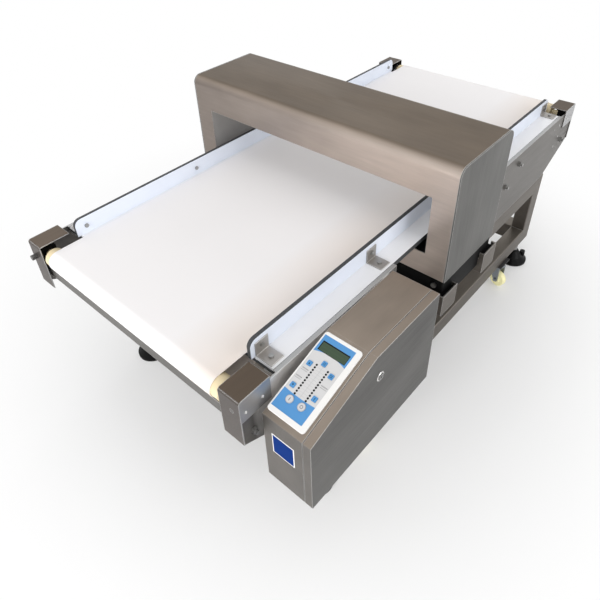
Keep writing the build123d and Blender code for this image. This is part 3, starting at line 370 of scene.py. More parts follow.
STREAKS = (14.0, 4.0, 0.65, 60)  # scale along the grain, detail, roughness, times as fine across
BANDS = (9.0, 3.0, 0.6, 14)
HAZE = (4.0, 3.0, 0.55, 2.2)
EDGE_WIDTH = 0.0018              # how far the pale edges of a sheet reach, a painted highlight; also the radius of their rounded normal
EDGE_TURN = (0.995, 0.93)        # cosine of the normal's turn where the edge starts and is full
EDGE_SHARE = 0.8
LEAN_START = 0.12                # where the head's painted reflection starts to make it paler, as a share of its width
GAP_DEPTH = 0.03                 # the gap behind the box, and its faces under the belt that take a painted reflection
GAP_OVERLAP = 0.0005
GAP_TOP = 0.05
GAP_FOOT = 0.16
UPRIGHT = (0.5, 0.9)             # square of the normal's part where a face starts to count
MOTTLE = (70.0, 2.0)             # scale and detail on turned metal


def gap_reflection_faces(tree, place):
    """1 on the upright faces in the gap between the box and the conveyor's side plate, which take
    a painted reflection.

    That is x along the box, y from its back across the gap, a normal that looks along y, and
    a rise with z from 0 at the gap's foot to 1 at its top.
    """
    x, y, z = parts_of(tree, place)
    along = between(tree, x, BOX_LOW.x, BOX_HIGH.x, soft=0.01)
    across = between(tree, y, BOX_HIGH.y - GAP_OVERLAP, BOX_HIGH.y + GAP_DEPTH, soft=0.0002)
    above = spread(tree, z, BELT_TOP - GAP_FOOT, BELT_TOP - GAP_TOP)
    upright = spread(tree, looks_along(tree, "Y"), *UPRIGHT)
    return product(tree, along, across, above, upright)


def brushed_steel(name, steel, end, side, level, grain="X", haze=0.16, fine=0.2, lean=0.0,
                  polished=False):
    """Sheet brushed along one axis, with a colour each for faces that look along x, y and z:
    painted light and shade, one steel lighter or darker by which way a face looks.

    Over it lie streaks, bands and haze, colour x (1 + a (streak - 1/2) + a (band - 1/2)
    + 3 b (haze - 1/2)), and pale edges where the normal turns, a painted highlight. Faces along
    x grow paler towards the operator by the share lean, a painted reflection of the lit belt
    and floor. With the last argument set, the gap's upright faces take a painted reflection.
    """
    material, tree = new_material(name)
    place = object_place(tree)
    # Painted reflection of the lit belt and floor: faces along x grow paler towards the operator
    if lean:
        start = HEAD_HIGH.y - LEAN_START * (HEAD_HIGH.y - HEAD_LOW.y)
        growth = spread(tree, parts_of(tree, place)[1], start, HEAD_LOW.y,
                        1 - 0.6 * lean, 1 + lean)
        end = scaled(tree, tuple(end), growth)
    layers = [noise(tree, place, scale, detail, rough,
                    tuple(1 if axis == grain else finer for axis in "XYZ"))
              for scale, detail, rough, finer in (STREAKS, BANDS, HAZE)]
    # Painted light and shade: faces that look along y take the side colour, faces that look up the
    # level colour
    tone = blend_colour(tree, looks_along(tree, "Y"), end, side)
    tone = blend_colour(tree, looks_along(tree, "Z"), tone, level)
    factor = 1.0
    for layer, share in zip(layers, (fine, fine, 3 * haze)):
        offset = maths(tree, "SUBTRACT", layer, 0.5)
        factor = maths(tree, "MULTIPLY_ADD", offset, share, factor)
    tone = scaled(tree, tone, factor)
    # Painted reflection: the upright faces in the gap behind the box turn near white
    if polished:
        tone = blend_colour(tree, gap_reflection_faces(tree, place), tone, steel.polished)
    # Painted highlight: pale colour along the edges, where the rounded normal turns from the flat
    # one
    rounded = add(tree, "ShaderNodeBevel", {"Radius": EDGE_WIDTH}, samples=4).outputs[0]
    flat = add(tree, "ShaderNodeNewGeometry").outputs["Normal"]
    turn = vector_node(tree, "DOT_PRODUCT", {0: rounded, 1: flat}).outputs["Value"]
    edge_highlight = product(tree, spread(tree, turn, *EDGE_TURN), EDGE_SHARE)
    streak, rough = layers[0], steel.roughness
    return finished(material, {
        "Base Color": blend_colour(tree, edge_highlight, tone, steel.edge),
        "Roughness": varied(tree, streak, rough - 0.06, rough + 0.08),
        "Normal": relief(tree, streak, strength=0.25, distance=0.0002, over=rounded),
        "Metallic": 0.85,
        "Anisotropic": 0.4,
    })


def turned_metal(name, tone, roughness):
    """Turned or plated metal, whose colour and roughness follow one smooth mottling."""
    material, tree = new_material(name)
    mottle = noise(tree, object_place(tree), *MOTTLE)
    return finished(material, {
        "Base Color": mottled(tree, mottle, tone, 0.93, 1.05),
        "Roughness": varied(tree, mottle, roughness - 0.03, roughness + 0.04),
        "Metallic": 1.0,
    })


LOCK_RIM = (0.66, 0.72)          # shares of the lock's radius
LOCK_LINE = (0.60, 0.70)
# the keyway's half width and height, as shares of the radius; painted near black, a painted shade
# in its hollow
KEYWAY = (0.12, 0.38)
LOCK_SOFT = 0.02


def plated_lock(name, tone):
    """Lock plating: a bright rim, a dark line round the plug, and a keyway |x| < w, |z| < h,
    painted near black as the shade in its hollow.
    """
    material, tree = new_material(name)
    low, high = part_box("lock_ring")
    radius = (high.x - low.x) / 2
    middle = {0: object_place(tree), 1: tuple((low + high) / 2)}
    across, _, up = parts_of(tree, vector_node(tree, "SUBTRACT", middle).outputs[0])
    out = length(tree, across, up)
    soft = LOCK_SOFT * radius
    rim = spread(tree, out, *(share * radius for share in LOCK_RIM))
    line = between(tree, out, *(share * radius for share in LOCK_LINE), soft)
    slot = product(tree, *(between(tree, part, -half * radius, half * radius, soft)
                           for part, half in zip((across, up), KEYWAY)))
    plug = blend_colour(tree, rim, shade(tone, 0.5), tone)
    # The keyway's near black is painted shade; the line round the plug is a dark joint
    dark = maths(tree, "MAXIMUM", line, slot)
    return finished(material, {
        "Base Color": blend_colour(tree, dark, plug, shade(tone, 0.05)),
        "Metallic": 1.0,
        "Roughness": 0.25,
    })


# Finishes of plastic, rubber and paint. Each noise has a scale and detail

CLOUD = (9.0, 3.0)
PEBBLE_DETAIL = 2.0
FACE_CLOUD = (6.0, 3.0)
SAW_MARKS = (300.0, 2.0, 0.5, (1, 1, 12))   # and roughness, and finer along z
FACE_TURN = (0.35, 0.55)         # square of the normal's part where a face turns white
LINER_DARK = (0.006, 0.012)      # below the belt's top, where the lining turns dark: a painted shade

def moulded(name, tone, roughness, grain=0.12, scale=900.0, specular=0.45):
    """Moulded plastic, rubber or paint: a fine pebbled surface and slight clouding."""
    material, tree = new_material(name)
    place = object_place(tree)
    pebble = noise(tree, place, scale, PEBBLE_DETAIL)
    cloud = noise(tree, place, *CLOUD)
    return finished(material, {
        "Base Color": mottled(tree, cloud, tone, 0.92, 1.06),
        "Roughness": varied(tree, cloud, roughness - 0.05, roughness + 0.07),
        "Normal": relief(tree, pebble, strength=grain, distance=0.0003),
        "Specular IOR Level": specular,
    })


def tunnel_lining(name, tone, dark):
    """Lining of the tunnel: plain above the belt and dark below it, a painted shade where the bed
    hides it.
    """
    material, tree = new_material(name)
    place = object_place(tree)
    cloud = noise(tree, place, *CLOUD)
    # Painted shade: the lining turns dark below the belt's top
    below = spread(tree, parts_of(tree, place)[2], *(BELT_TOP - drop for drop in LINER_DARK))
    plain = mottled(tree, cloud, tone, 0.9, 1.08)
    return finished(material, {
        "Base Color": blend_colour(tree, below, plain, dark),
        "Roughness": 0.45,
        "Specular IOR Level": 0.2,
    })


def faced_strip(name, face, core, axis):
    """White polyethylene with a dark sawn edge: only faces that look along the axis are white."""
    material, tree = new_material(name)
    place = object_place(tree)
    on_face = spread(tree, looks_along(tree, axis), *FACE_TURN)
    white = mottled(tree, noise(tree, place, *FACE_CLOUD), face, 0.96, 1.03)
    saw = noise(tree, place, *SAW_MARKS)
    dark = mottled(tree, saw, core, 0.8, 1.5)
    return finished(material, {
        "Base Color": blend_colour(tree, on_face, dark, white),
        "Roughness": spread(tree, on_face, 0.0, 1.0, 0.6, 0.38),
        "Normal": relief(tree, saw, strength=0.06, distance=0.0002),
    })


CLOTH_PITCH = 0.0016             # threads of the belt's cloth, and its band of painted warm shade beside the guide
STRIP_WIDTH = 0.12
STRIP_FULL = 0.01
BELT_CLOUD = (3.0, 4.0)


def belt_cover(name, tone, painted_warm_shade):
    """Smooth food belt: clouding, a soft sheen and a warmer band of painted shade along the
    operator's edge.

    The cloth under it shows as a height sin(2 pi x / p) sin(2 pi y / p).
    """
    material, tree = new_material(name)
    place = object_place(tree)
    x, y, _ = parts_of(tree, place)
    cloth = product(tree, *(maths(tree, "SINE", product(tree, part, 2 * math.pi / CLOTH_PITCH))
                            for part in (x, y)))
    cloud = noise(tree, place, *BELT_CLOUD)
    # Painted warm shade along the operator's edge, clouded
    strip = product(tree, spread(tree, y, BELT_LOW.y + STRIP_WIDTH, BELT_LOW.y + STRIP_FULL),
                    spread(tree, cloud, 0.3, 0.6, 0.6, 1.0))
    tone = blend_colour(tree, strip, tone, painted_warm_shade)
    return finished(material, {
        "Base Color": scaled(tree, tone, varied(tree, cloud, 0.985, 1.01)),
        "Roughness": varied(tree, cloud, 0.42, 0.52),
        "Normal": relief(tree, cloth, strength=0.04, distance=0.0001),
        "Specular IOR Level": 0.4,
    })


# Keypad panel: millimetres along and across the box's slope, from its near inner corner

SLOPE_RUN = 168.0
SLOPE_RISE = 56.0
SLOPE = math.atan2(SLOPE_RISE, SLOPE_RUN)
SLOPE_NEAR = np.array([BOX_LOW.x, BOX_HIGH.y, BOX_HIGH.z - SLOPE_RISE * MM])

FILM_ALONG = (19.5, 164.0)       # the printed film on the panel
FILM_ACROSS = (4.0, 68.0)
FILM_MIDDLE = 37.0
FILM_SHEEN = 0.15                # specular level of film, keys and display
FILM_PEBBLE = (1500.0, 2.0)
BLUE_TOP = 136.3                 # where the upper blue field starts, at its middle
BLUE_LOW = 52.6                  # where the lower one ends
BLUE_BOW = 0.0056                # bend of the fields' edges, per millimetre
BLUE_LOW_BOW = 0.0016
BLUE_SOFT = 0.2                  # half width of a printed edge
DOT_ALONG = (54.4, 112.2)        # first and last dot of a row
DOT_COUNT = 12
DOT_PITCH = (DOT_ALONG[1] - DOT_ALONG[0]) / (DOT_COUNT - 1)
DOT_R = 1.95
DOT_SOFT = 0.15
DOT_ROWS = (25.4, 48.6)
TICK_HALF = 0.25                 # half width of a tick between the rows, and their clearance
TICK_CLEAR = 3.5
SPINE_HALF = 0.35
CAPTIONS = ((95.3, 13.5), (79.5, 12.6), (87.0, 59.5))   # middles of the plain bars
CAPTION_HALF = 6.5
CAPTION_BARS = ((0.5, 2.5), (-2.4, -1.4))
CAPTION_GAPS = (2.3, 0.3)        # pitch of the gaps in a bar, and a gap's share of it
TICK_INK = 0.4                   # how strongly each mark is printed
CAPTION_INK = 0.6
MARK_INK = 0.75
RIM_INK = 0.55
CELL_INK = 0.10

KEY_MARKS = {"key_up": "up", "key_down": "down", "key_menu": "lines", "key_set": "frame",
             "key_enter": "bar", "button_start": "bar", "button_stop": "ring"}
ARROW = (-1.9, 2.2, 2.3)         # foot, tip and half width at the foot
LINES = (1.9, 2.6)               # pitch, and half of the square that they fill
BAR = (2.8, 0.8)                 # half length and half width
RING = (1.9, 2.9)                # inner and outer radius
FRAME = (1.2, 2.2)               # inner and outer half side
RIM_LINE = (0.7, 0.2)            # line inside a round button's edge
ARROW_SOFT = (-0.1, 0.2)         # soft edges of the marks
MARK_SOFT = 0.3
WAVE_SOFT = 0.4

PANE_ALONG = (-8.4, 6.9)         # the display's glass from its middle, and from its two sides; the dark rim outside it is painted shade
PANE_INSETS = (1.8, 0.9)
CELL_ROWS = ((0.6, 4.8), (-6.2, -2.0))
CELL_INSET = 4.0
CELL_GAPS = (3.1, 0.25)          # pitch of the cells, and a gap's share of it


def on_panel(node):
    """Where the middle of a node lies along and across the panel, in millimetres."""
    low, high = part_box(node)
    x, y, z = (np.array((low + high) / 2) - SLOPE_NEAR) / MM
    return x * math.cos(SLOPE) + z * math.sin(SLOPE), -y


def panel_coordinates(tree, centre=(0.0, 0.0)):
    """Millimetres along and across the panel from a centre on it: x cos s + z sin s, and -y."""
    shifted = vector_node(tree, "SUBTRACT", {0: object_place(tree), 1: tuple(SLOPE_NEAR)})
    x, y, z = parts_of(tree, scaled(tree, shifted.outputs[0], 1 / MM))
    level = product(tree, x, math.cos(SLOPE))
    along = maths(tree, "MULTIPLY_ADD", z, math.sin(SLOPE), level)
    across = product(tree, y, -1.0)
    return maths(tree, "SUBTRACT", along, centre[0]), maths(tree, "SUBTRACT", across, centre[1])


def repeated(tree, value, pitch, gap):
    """1 on the last part of each pitch, after a gap that is a share of it."""
    phase = maths(tree, "FRACT", maths(tree, "DIVIDE", value, pitch))
    return maths(tree, "GREATER_THAN", phase, gap)


def blue_fields(tree, along, across):
    """The two blue fields: a + b m^2 > start and a - c m^2 < end, with m from the middle."""
    middle = maths(tree, "SUBTRACT", across, FILM_MIDDLE)
    square = product(tree, middle, middle)
    top = maths(tree, "MULTIPLY_ADD", square, BLUE_BOW, along)
    low = maths(tree, "MULTIPLY_ADD", square, -BLUE_LOW_BOW, along)
    return maths(tree, "MAXIMUM",
                 spread(tree, top, BLUE_TOP - BLUE_SOFT, BLUE_TOP + BLUE_SOFT),
                 spread(tree, low, BLUE_LOW + BLUE_SOFT, BLUE_LOW - BLUE_SOFT))


def dots_and_ticks(tree, along, across):
    """Each row of dots, r < R round its nearest place, and between the rows a spine with ticks."""
    start, stop = DOT_ALONG[0] - DOT_PITCH / 2, DOT_ALONG[1] + DOT_PITCH / 2
    run = between(tree, along, start, stop)
    phase = maths(tree, "DIVIDE", maths(tree, "SUBTRACT", along, start), DOT_PITCH)
    from_dot = maths(tree, "SUBTRACT", maths(tree, "FRACT", phase), 0.5)
    from_dot = product(tree, from_dot, DOT_PITCH)
    dots = []
    for row in DOT_ROWS:
        distance = length(tree, maths(tree, "SUBTRACT", across, row), from_dot)
        dot = spread(tree, distance, DOT_R + DOT_SOFT, DOT_R - DOT_SOFT)
        dots.append(product(tree, dot, run))
    far = maths(tree, "ABSOLUTE", from_dot)
    ticks = product(tree, maths(tree, "GREATER_THAN", far, DOT_PITCH / 2 - TICK_HALF),
                    between(tree, across, DOT_ROWS[0] + TICK_CLEAR, DOT_ROWS[1] - TICK_CLEAR))
    spine = between(tree, across, FILM_MIDDLE - SPINE_HALF, FILM_MIDDLE + SPINE_HALF)
    return dots, product(tree, run, maths(tree, "MAXIMUM", ticks, spine))


def caption_bars(tree, along, across, where, aside):
    """A thick and a thin bar, cut by gaps, round a place on the panel."""
    offset = maths(tree, "SUBTRACT", along, where)
    thick, thin = (between(tree, offset, *bar) for bar in CAPTION_BARS)
    wide = between(tree, across, aside - CAPTION_HALF, aside + CAPTION_HALF)
    return product(tree, maths(tree, "MAXIMUM", thick, thin), wide,
                   repeated(tree, across, *CAPTION_GAPS))


def printed_panel(name, keypad):
    """The keypad's film: white border, grey middle, blue fields, rows of dots and plain bars."""
    material, tree = new_material(name)
    along, across = panel_coordinates(tree)
    inside = product(tree, between(tree, along, *FILM_ALONG), between(tree, across, *FILM_ACROSS))
    dots, scale = dots_and_ticks(tree, along, across)
    blues = product(tree, inside, blue_fields(tree, along, across))
    tone = blend_colour(tree, inside, keypad.border, keypad.field)
    tone = blend_colour(tree, product(tree, scale, TICK_INK), tone, shade(keypad.field, 0.5))
    tone = blend_colour(tree, blues, tone, keypad.blue)
    for dot in dots:
        tone = blend_colour(tree, dot, tone, keypad.ink_and_rim_shade)
    for where, aside in CAPTIONS:
        bars = caption_bars(tree, along, across, where, aside)
        tone = blend_colour(tree, product(tree, bars, CAPTION_INK), tone, keypad.ink_and_rim_shade)
    pebble = noise(tree, object_place(tree), *FILM_PEBBLE)
    return finished(material, {
        "Base Color": tone,
        "Normal": relief(tree, pebble, strength=0.05, distance=0.0001),
        "Roughness": 0.38,
        "Specular IOR Level": FILM_SHEEN,
    })


def key_mark(tree, along, across, mark):
    """1 on a key's mark: an arrow |c| < w (tip - a), lines, a bar, a square frame or a ring."""
    aside = maths(tree, "ABSOLUTE", across)
    if mark in ("up", "down"):
        foot, tip, half = ARROW
        forward = product(tree, along, 1.0 if mark == "up" else -1.0)
        room = maths(tree, "SUBTRACT", spread(tree, forward, foot, tip, half, 0.0), aside)
        return product(tree, spread(tree, room, *ARROW_SOFT), between(tree, forward, foot, tip))
    if mark == "lines":
        pitch, half = LINES
        wave = maths(tree, "COSINE", product(tree, along, 2 * math.pi / pitch))
        return product(tree, spread(tree, wave, 0.0, WAVE_SOFT),
                       between(tree, along, -half, half),
                       spread(tree, aside, half, half - MARK_SOFT))
    if mark == "bar":
        reach, half = BAR
        return product(tree, between(tree, along, -reach, reach),
                       spread(tree, aside, half, half - MARK_SOFT))
    if mark == "ring":
        return between(tree, length(tree, along, across), *RING)
    return between(tree, maths(tree, "MAXIMUM", maths(tree, "ABSOLUTE", along), aside), *FRAME)


def key_face(node, keypad, is_round):
    """A key's film with its mark, and a fine line inside its edge where it is round."""
    material, tree = new_material(node + "_film")
    along, across = panel_coordinates(tree, on_panel(node))
    mark = product(tree, key_mark(tree, along, across, KEY_MARKS[node]), MARK_INK)
    tone = blend_colour(tree, mark, keypad.button if is_round else keypad.key, keypad.ink_and_rim_shade)
    if is_round:
        low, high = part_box(node)
        radius = (high.y - low.y) / 2 / MM
        line = between(tree, length(tree, along, across), *(radius - inset for inset in RIM_LINE))
        tone = blend_colour(tree, product(tree, line, RIM_INK), tone, keypad.ink_and_rim_shade)
    return finished(material, {
        "Base Color": tone,
        "Roughness": 0.35,
        "Specular IOR Level": FILM_SHEEN,
    })


def display_face(name, glass, ink_and_rim_shade):
    """The display: a dark rim of painted shade, wider on two sides, dull green glass and faint
    rows of cells.
    """
    material, tree = new_material(name)
    low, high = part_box("display")
    half = (high.y - low.y) / 2 / MM
    along, across = panel_coordinates(tree, on_panel("display"))
    left, right = PANE_INSETS
    pane = product(tree, between(tree, along, *PANE_ALONG),
                   between(tree, across, -half + left, half - right))
    rows = maths(tree, "MAXIMUM", *(between(tree, along, *row, soft=0.2) for row in CELL_ROWS))
    cells = product(tree, rows, repeated(tree, across, *CELL_GAPS),
                    between(tree, across, -half + CELL_INSET, half - CELL_INSET))
    cells = product(tree, cells, CELL_INK)
    # Painted shade: the dark rim outside the pane
    tone = blend_colour(tree, pane, ink_and_rim_shade, glass)
    return finished(material, {
        "Base Color": blend_colour(tree, cells, tone, shade(glass, 0.3)),
        "Roughness": 0.25,
        "Specular IOR Level": FILM_SHEEN,
    })


# The conveyor belt

BELT_CLEAR = 0.0003              # between the belt and the rollers
ARC_STEP = 0.07                  # radians from point to point round a roller
RUN_STEP = 0.03                  # metres from point to point on a straight run
EDGE_POINTS = 7                  # points round the belt's edge and across its face
FACE_POINTS = 30


def loop_line(circles):
    """The taut line round circles (x, z, r, turn), as points and outward normals.

    Arcs c + r (cos a, sin a) are joined by the common tangents, whose normal stands at the
    angle of the centres' line plus asin((ta ra - tb rb) / distance) less a right angle.
    """
    count = len(circles)
    ends = []
    for i in range(count):
        xa, za, ra, ta = circles[i]
        xb, zb, rb, tb = circles[(i + 1) % count]
        dx, dz = xb - xa, zb - za
        lean = math.asin((ta * ra - tb * rb) / math.hypot(dx, dz))
        n = math.atan2(dz, dx) + lean - math.pi / 2
        ends.append(((xa + ta * ra * math.cos(n), za + ta * ra * math.sin(n)),
                     (xb + tb * rb * math.cos(n), zb + tb * rb * math.sin(n)), n))
    places, normals = [], []
    for i in range(count):
        start, (stop, far, n) = ends[i - 1][1], ends[i]
        x, z, r, turn = circles[i]
        a0 = math.atan2(start[1] - z, start[0] - x)
        a1 = math.atan2(stop[1] - z, stop[0] - x)
        sweep = (a1 - a0) % (2 * math.pi) if turn > 0 else -((a0 - a1) % (2 * math.pi))
        steps = max(4, int(abs(sweep) / ARC_STEP))
        a = a0 + np.linspace(0, sweep, steps + 1)
        places.append(np.stack([x + r * np.cos(a), z + r * np.sin(a)], 1))
        normals.append(turn * np.stack([np.cos(a), np.sin(a)], 1))
        near, far = np.array(stop), np.array(far)
        runs = max(2, int(np.linalg.norm(far - near) / RUN_STEP))
        t = np.linspace(0, 1, runs + 1)[1:-1, None]
        places.append(near + (far - near) * t)
        normals.append(np.repeat([[math.cos(n), math.sin(n)]], runs - 1, 0))
    return np.concatenate(places), np.concatenate(normals)


def belt_section(half, t):
    """The belt cut across, as (across, out): two half circles of radius t / 2 and two lines."""
    edge = t / 2
    a = np.linspace(-math.pi / 2, math.pi / 2, EDGE_POINTS)
    right = np.stack([half - edge + edge * np.cos(a), edge + edge * np.sin(a)], 1)
    left = np.stack([-(half - edge) - edge * np.cos(a), edge - edge * np.sin(a)], 1)
    across = np.linspace(half - edge, -(half - edge), FACE_POINTS)[1:-1]
    top = np.stack([across, np.full_like(across, t)], 1)
    bottom = np.stack([across[::-1], np.zeros_like(across)], 1)
    return np.concatenate([right, top, left, bottom])


class MakeBelt(bpy.types.Operator):
    """The endless conveyor belt, in place of its plain solid"""
    bl_idname = "detector.belt"
    bl_label = "Belt"

    def execute(self, context):
        settings = context.scene.detector_belt
        t = settings.thickness
        circles = []
        for node, past, turn in (("tail_roller", 0.0, 1), ("infeed_idler", t, -1),
                                 ("outfeed_idler", t, -1), ("drive_roller", 0.0, 1)):
            low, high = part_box(node)
            circles.append(((low.x + high.x) / 2, (low.z + high.z) / 2,
                            (high.z - low.z) / 2 + BELT_CLEAR + past, turn))
        line, normal = loop_line(circles)
        section = belt_section((BELT_HIGH.y - BELT_LOW.y) / 2, t)
        points = np.empty((len(line), len(section), 3))
        points[:, :, 0] = line[:, None, 0] + normal[:, None, 0] * section[None, :, 1]
        points[:, :, 1] = CENTRE_Y + section[None, :, 0]
        points[:, :, 2] = line[:, None, 1] + normal[:, None, 1] * section[None, :, 1]
        mesh = joined("conveyor_belt_cover", [points], close_u=True)
        finish = belt_cover("belt_cover", settings.surface, settings.painted_warm_shade)
        obj = keep_object("conveyor_belt_cover", mesh, "base", finish)
        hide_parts("conveyor_belt")
        return {"FINISHED"}


# Screws and plate

# Button heads on one side, repeated on the other: x, y, z for at() and the head's radius
SCREW_PLACES = (
    (-662.5, -320.3, -22.8, 3.2), (-624.8, -320.3, -21.9, 3.2),
    (631.9, -320.3, -22.5, 3.2), (666.0, -320.3, -30.0, 3.2),
    (581.7, -318.0, -24.8, 2.6), (546.9, -318.0, -26.5, 2.2),
    (569.9, -318.0, -86.4, 2.6), (589.0, -318.0, -62.0, 2.2),
)
SCREW_SIDES = 24
SCREW_SINK = 0.00002             # how far a head goes into the sheet
DOME_POINTS = 8
DOME_END = 0.45                  # angle from the axis where the dome meets the socket
DOME_RISE = 0.55                 # shares of a head's radius
SOCKET_MOUTH = (0.38, 0.5)
SOCKET_FLOOR = (0.34, 0.2)


def button_head(r):
    """Radius and height of a dome (r sin a, k r cos a) with a socket that has a flat floor."""
    dome = [(r * math.sin(a), DOME_RISE * r * math.cos(a))
            for a in np.linspace(math.pi / 2, DOME_END, DOME_POINTS)]
    socket = [(wide * r, high * r) for wide, high in (SOCKET_MOUTH, SOCKET_FLOOR)]
    return [(0.0, -SCREW_SINK), (r, -SCREW_SINK), *dome, *socket, (0.0, SOCKET_FLOOR[1] * r)]


class MakeSmallScrews(bpy.types.Operator):
    """Button-head screws on the covers and side plates"""
    bl_idname = "detector.small_screws"
    bl_label = "Small screws"

    def execute(self, context):
        surfaces = [turned(button_head(r * MM), at(x, y * side, z), (0, -side, 0), SCREW_SIDES)
                    for x, y, z, r in SCREW_PLACES for side in (1, -1)]
        mesh = joined("small_screws", surfaces)
        finish = turned_metal("small_screw_steel", context.scene.detector_steel.bright, 0.3)
        keep_object("small_screws", mesh, "base", finish)
        return {"FINISHED"}


PLATE_IN = 18.5                  # the bare plate from the box's inner edge, in millimetres
PLATE_W = 47.7
PLATE_TOP = 77.0                 # and below the belt's top
PLATE_H = 51.0
PLATE_T = 0.7
PLATE_BORDER = 2.0
PLATE_RINGS = ((0.0, 1.0), (0.7, 1.0), (1.0, 0.985))    # shares of thickness and of outline


def bordered_plate(name, low, high, keypad):
    """A plate coloured inside, with a white border along its four edges."""
    material, tree = new_material(name)
    parts = parts_of(tree, object_place(tree))
    inset = PLATE_BORDER * MM
    inner = product(tree, *(between(tree, parts[i], low[i] + inset, high[i] - inset,
                                    soft=0.0002) for i in (1, 2)))
    return finished(material, {
        "Base Color": blend_colour(tree, inner, keypad.border, keypad.plate),
        "Roughness": 0.6,
        "Specular IOR Level": 0.03,
    })


class MakeBlankPlate(bpy.types.Operator):
    """The bare plate on the near end of the control box"""
    bl_idname = "detector.blank_plate"
    bl_label = "Blank plate"

    def execute(self, context):
        x = BOX_LOW.x
        high = np.array([x, BOX_HIGH.y - PLATE_IN * MM, BELT_TOP - PLATE_TOP * MM])
        low = high - np.array([PLATE_T, PLATE_W, PLATE_H]) * MM
        corners = np.array([[0.0, 0.0], [1.0, 0.0], [1.0, 1.0], [0.0, 1.0]])
        outline = low[1:] + (high[1:] - low[1:]) * corners
        middle = outline.mean(0)
        rows = []
        for out, share in PLATE_RINGS:
            ring = middle + (outline - middle) * share
            rows.append(np.column_stack([np.full(len(ring), x - out * PLATE_T * MM), ring]))
        rows.append(np.repeat([[low[0], *middle]], len(outline), 0))
        mesh = joined("blank_plate", [np.array(rows)])
        finish = bordered_plate("plate_enamel", low, high, context.scene.detector_keypad)
        keep_object("blank_plate", mesh, "base", finish, smooth=False)
        return {"FINISHED"}


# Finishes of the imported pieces

def steel_finishes(steel):
    """The finish of each slot of steel or other metal."""
    def sheet(name, kind, **how):
        """A sheet in its kind's colours for each facing, painted light and shade; a kind without
        one for its ends takes its side's.
        """
        side = getattr(steel, kind + "_side")
        end = getattr(steel, kind + "_end", side)
        return brushed_steel(name, steel, end, side, getattr(steel, kind + "_level"), **how)

    head_side = steel.head_side
    return {
        "bracket_steel": sheet("bracket_sheet", "bracket", grain="Y"),
        "plate_steel": sheet("side_plate_sheet", "plate", polished=True),
        "cover_steel": sheet("cover_sheet", "cover"),
        "frame_steel": sheet("tube_sheet", "tube"),
        "box_steel": sheet("box_sheet", "box", haze=0.34, fine=0.12, polished=True),
        # The head: painted light and shade by facing, and a painted reflection that grows paler
        # towards the operator
        "head_steel": brushed_steel("head_sheet", steel, steel.head_end, steel.head_end,
                                    steel.head_level, "Y", haze=0.22, fine=0.22, lean=0.6),
        "end_plate_steel": brushed_steel("end_plate_sheet", steel, head_side, head_side,
                                         head_side, "Z", haze=0.32, fine=0.1),
        "stainless_bright": turned_metal("turned_stainless", steel.bright, 0.28),
        "screw_steel": turned_metal("screw_steel_finish", shade(steel.bright, 0.72), 0.3),
        "pulley_aluminium": turned_metal("pulley_metal", steel.aluminium, 0.3),
        "coil_copper": turned_metal("winding_copper", steel.copper, 0.35),
        "caster_zinc": turned_metal("fork_zinc", steel.zinc, 0.38),
        "lock_chrome": plated_lock("lock_plating", steel.chrome),
    }


def plastic_finishes(plastic):
    """The finish of each slot of plastic, rubber or paint."""
    black = plastic.black
    return {
        "bed_white": faced_strip("bed_sheet", plastic.bed, plastic.core, "Z"),
        "guide_white": faced_strip("guide_sheet", plastic.guide, plastic.core, "Y"),
        "liner_grey": tunnel_lining("tunnel_liner_plastic", plastic.liner, black),
        "nylon_cream": moulded("turned_nylon", plastic.nylon, 0.45, grain=0.05, scale=400.0),
        "wheel_cream": moulded("wheel_nylon", plastic.wheel, 0.4, grain=0.05, scale=400.0),
        "foot_black": moulded("foot_plastic", black, 0.3, grain=0.08, scale=500.0, specular=0.12),
        "bearing_black": moulded("bearing_housing", black, 0.5, specular=0.1),
        "base_black": moulded("base_block", black, 0.6, specular=0.1),
        "rubber_black": moulded("pad_rubber", black, 0.75, specular=0.1),
        "belt_black": moulded("drive_belt_rubber", black, 0.6),
        "motor_grey": moulded("motor_paint", plastic.motor, 0.4),
        "caster_black": moulded("caster_plate_paint", plastic.caster, 0.4),
        "board_green": moulded("circuit_parts", plastic.board, 0.45),
    }


class MakeFinishes(bpy.types.Operator):
    """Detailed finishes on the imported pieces"""
    bl_idname = "detector.finishes"
    bl_label = "Finishes"

    def execute(self, context):
        steel = context.scene.detector_steel
        keypad = context.scene.detector_keypad
        finishes = {
            **steel_finishes(steel),
            **plastic_finishes(context.scene.detector_plastic),
            "belt_white": bpy.data.materials["belt_cover"],
            "bezel_white": printed_panel("keypad_film", keypad),
            "display_glass": display_face("display_pane", keypad.glass, keypad.ink_and_rim_shade),
        }
        dull = turned_metal("dull_steel", steel.dull, 0.4)
        slots = {part["node"]: part["material_slot"] for part in frame["record"]["subparts"]}
        for node, obj in frame["nodes"].items():
            if node in KEY_MARKS:
                finish = key_face(node, keypad, slots[node] == "button_grey")
            elif node == "take_up_screws":
                finish = dull
            else:
                finish = finishes.get(slots[node])
            if finish is None:
                raise RuntimeError("no finish for " + slots[node])
            for place in obj.material_slots:
                place.material = finish
        return {"FINISHED"}


# Stage

FLOOR_HALF = 30.0
FLOOR_DROP = 0.0002              # below the feet
FLOOR_TONE = (0.55, 1.1, 0.87, 0.97)    # distances from the middle, and the floor's grey there: a painted shadow, darker near the part
FLOOR_GLOW = (0.65, 1.3, 0.20, 1.0)     # distances, and the share of white that the camera sees
LAMP_AIM = (0, 0, 0.45)

# Name, place, size, power, and whether metal reflects it
LAMPS = (
    ("front_lamp", (-4.5, -0.7, 1.85), 3.1, 325, False),
    ("left_lamp", (-0.6, 2.4, 2.2), 2.0, 20, True),
    ("right_lamp", (0.2, -2.6, 1.6), 2.0, 46, True),
    ("top_lamp", (0.1, 0.2, 3.0), 2.6, 12, False),
    ("back_lamp", (2.6, 0.2, 1.3), 1.8, 40, False),
)

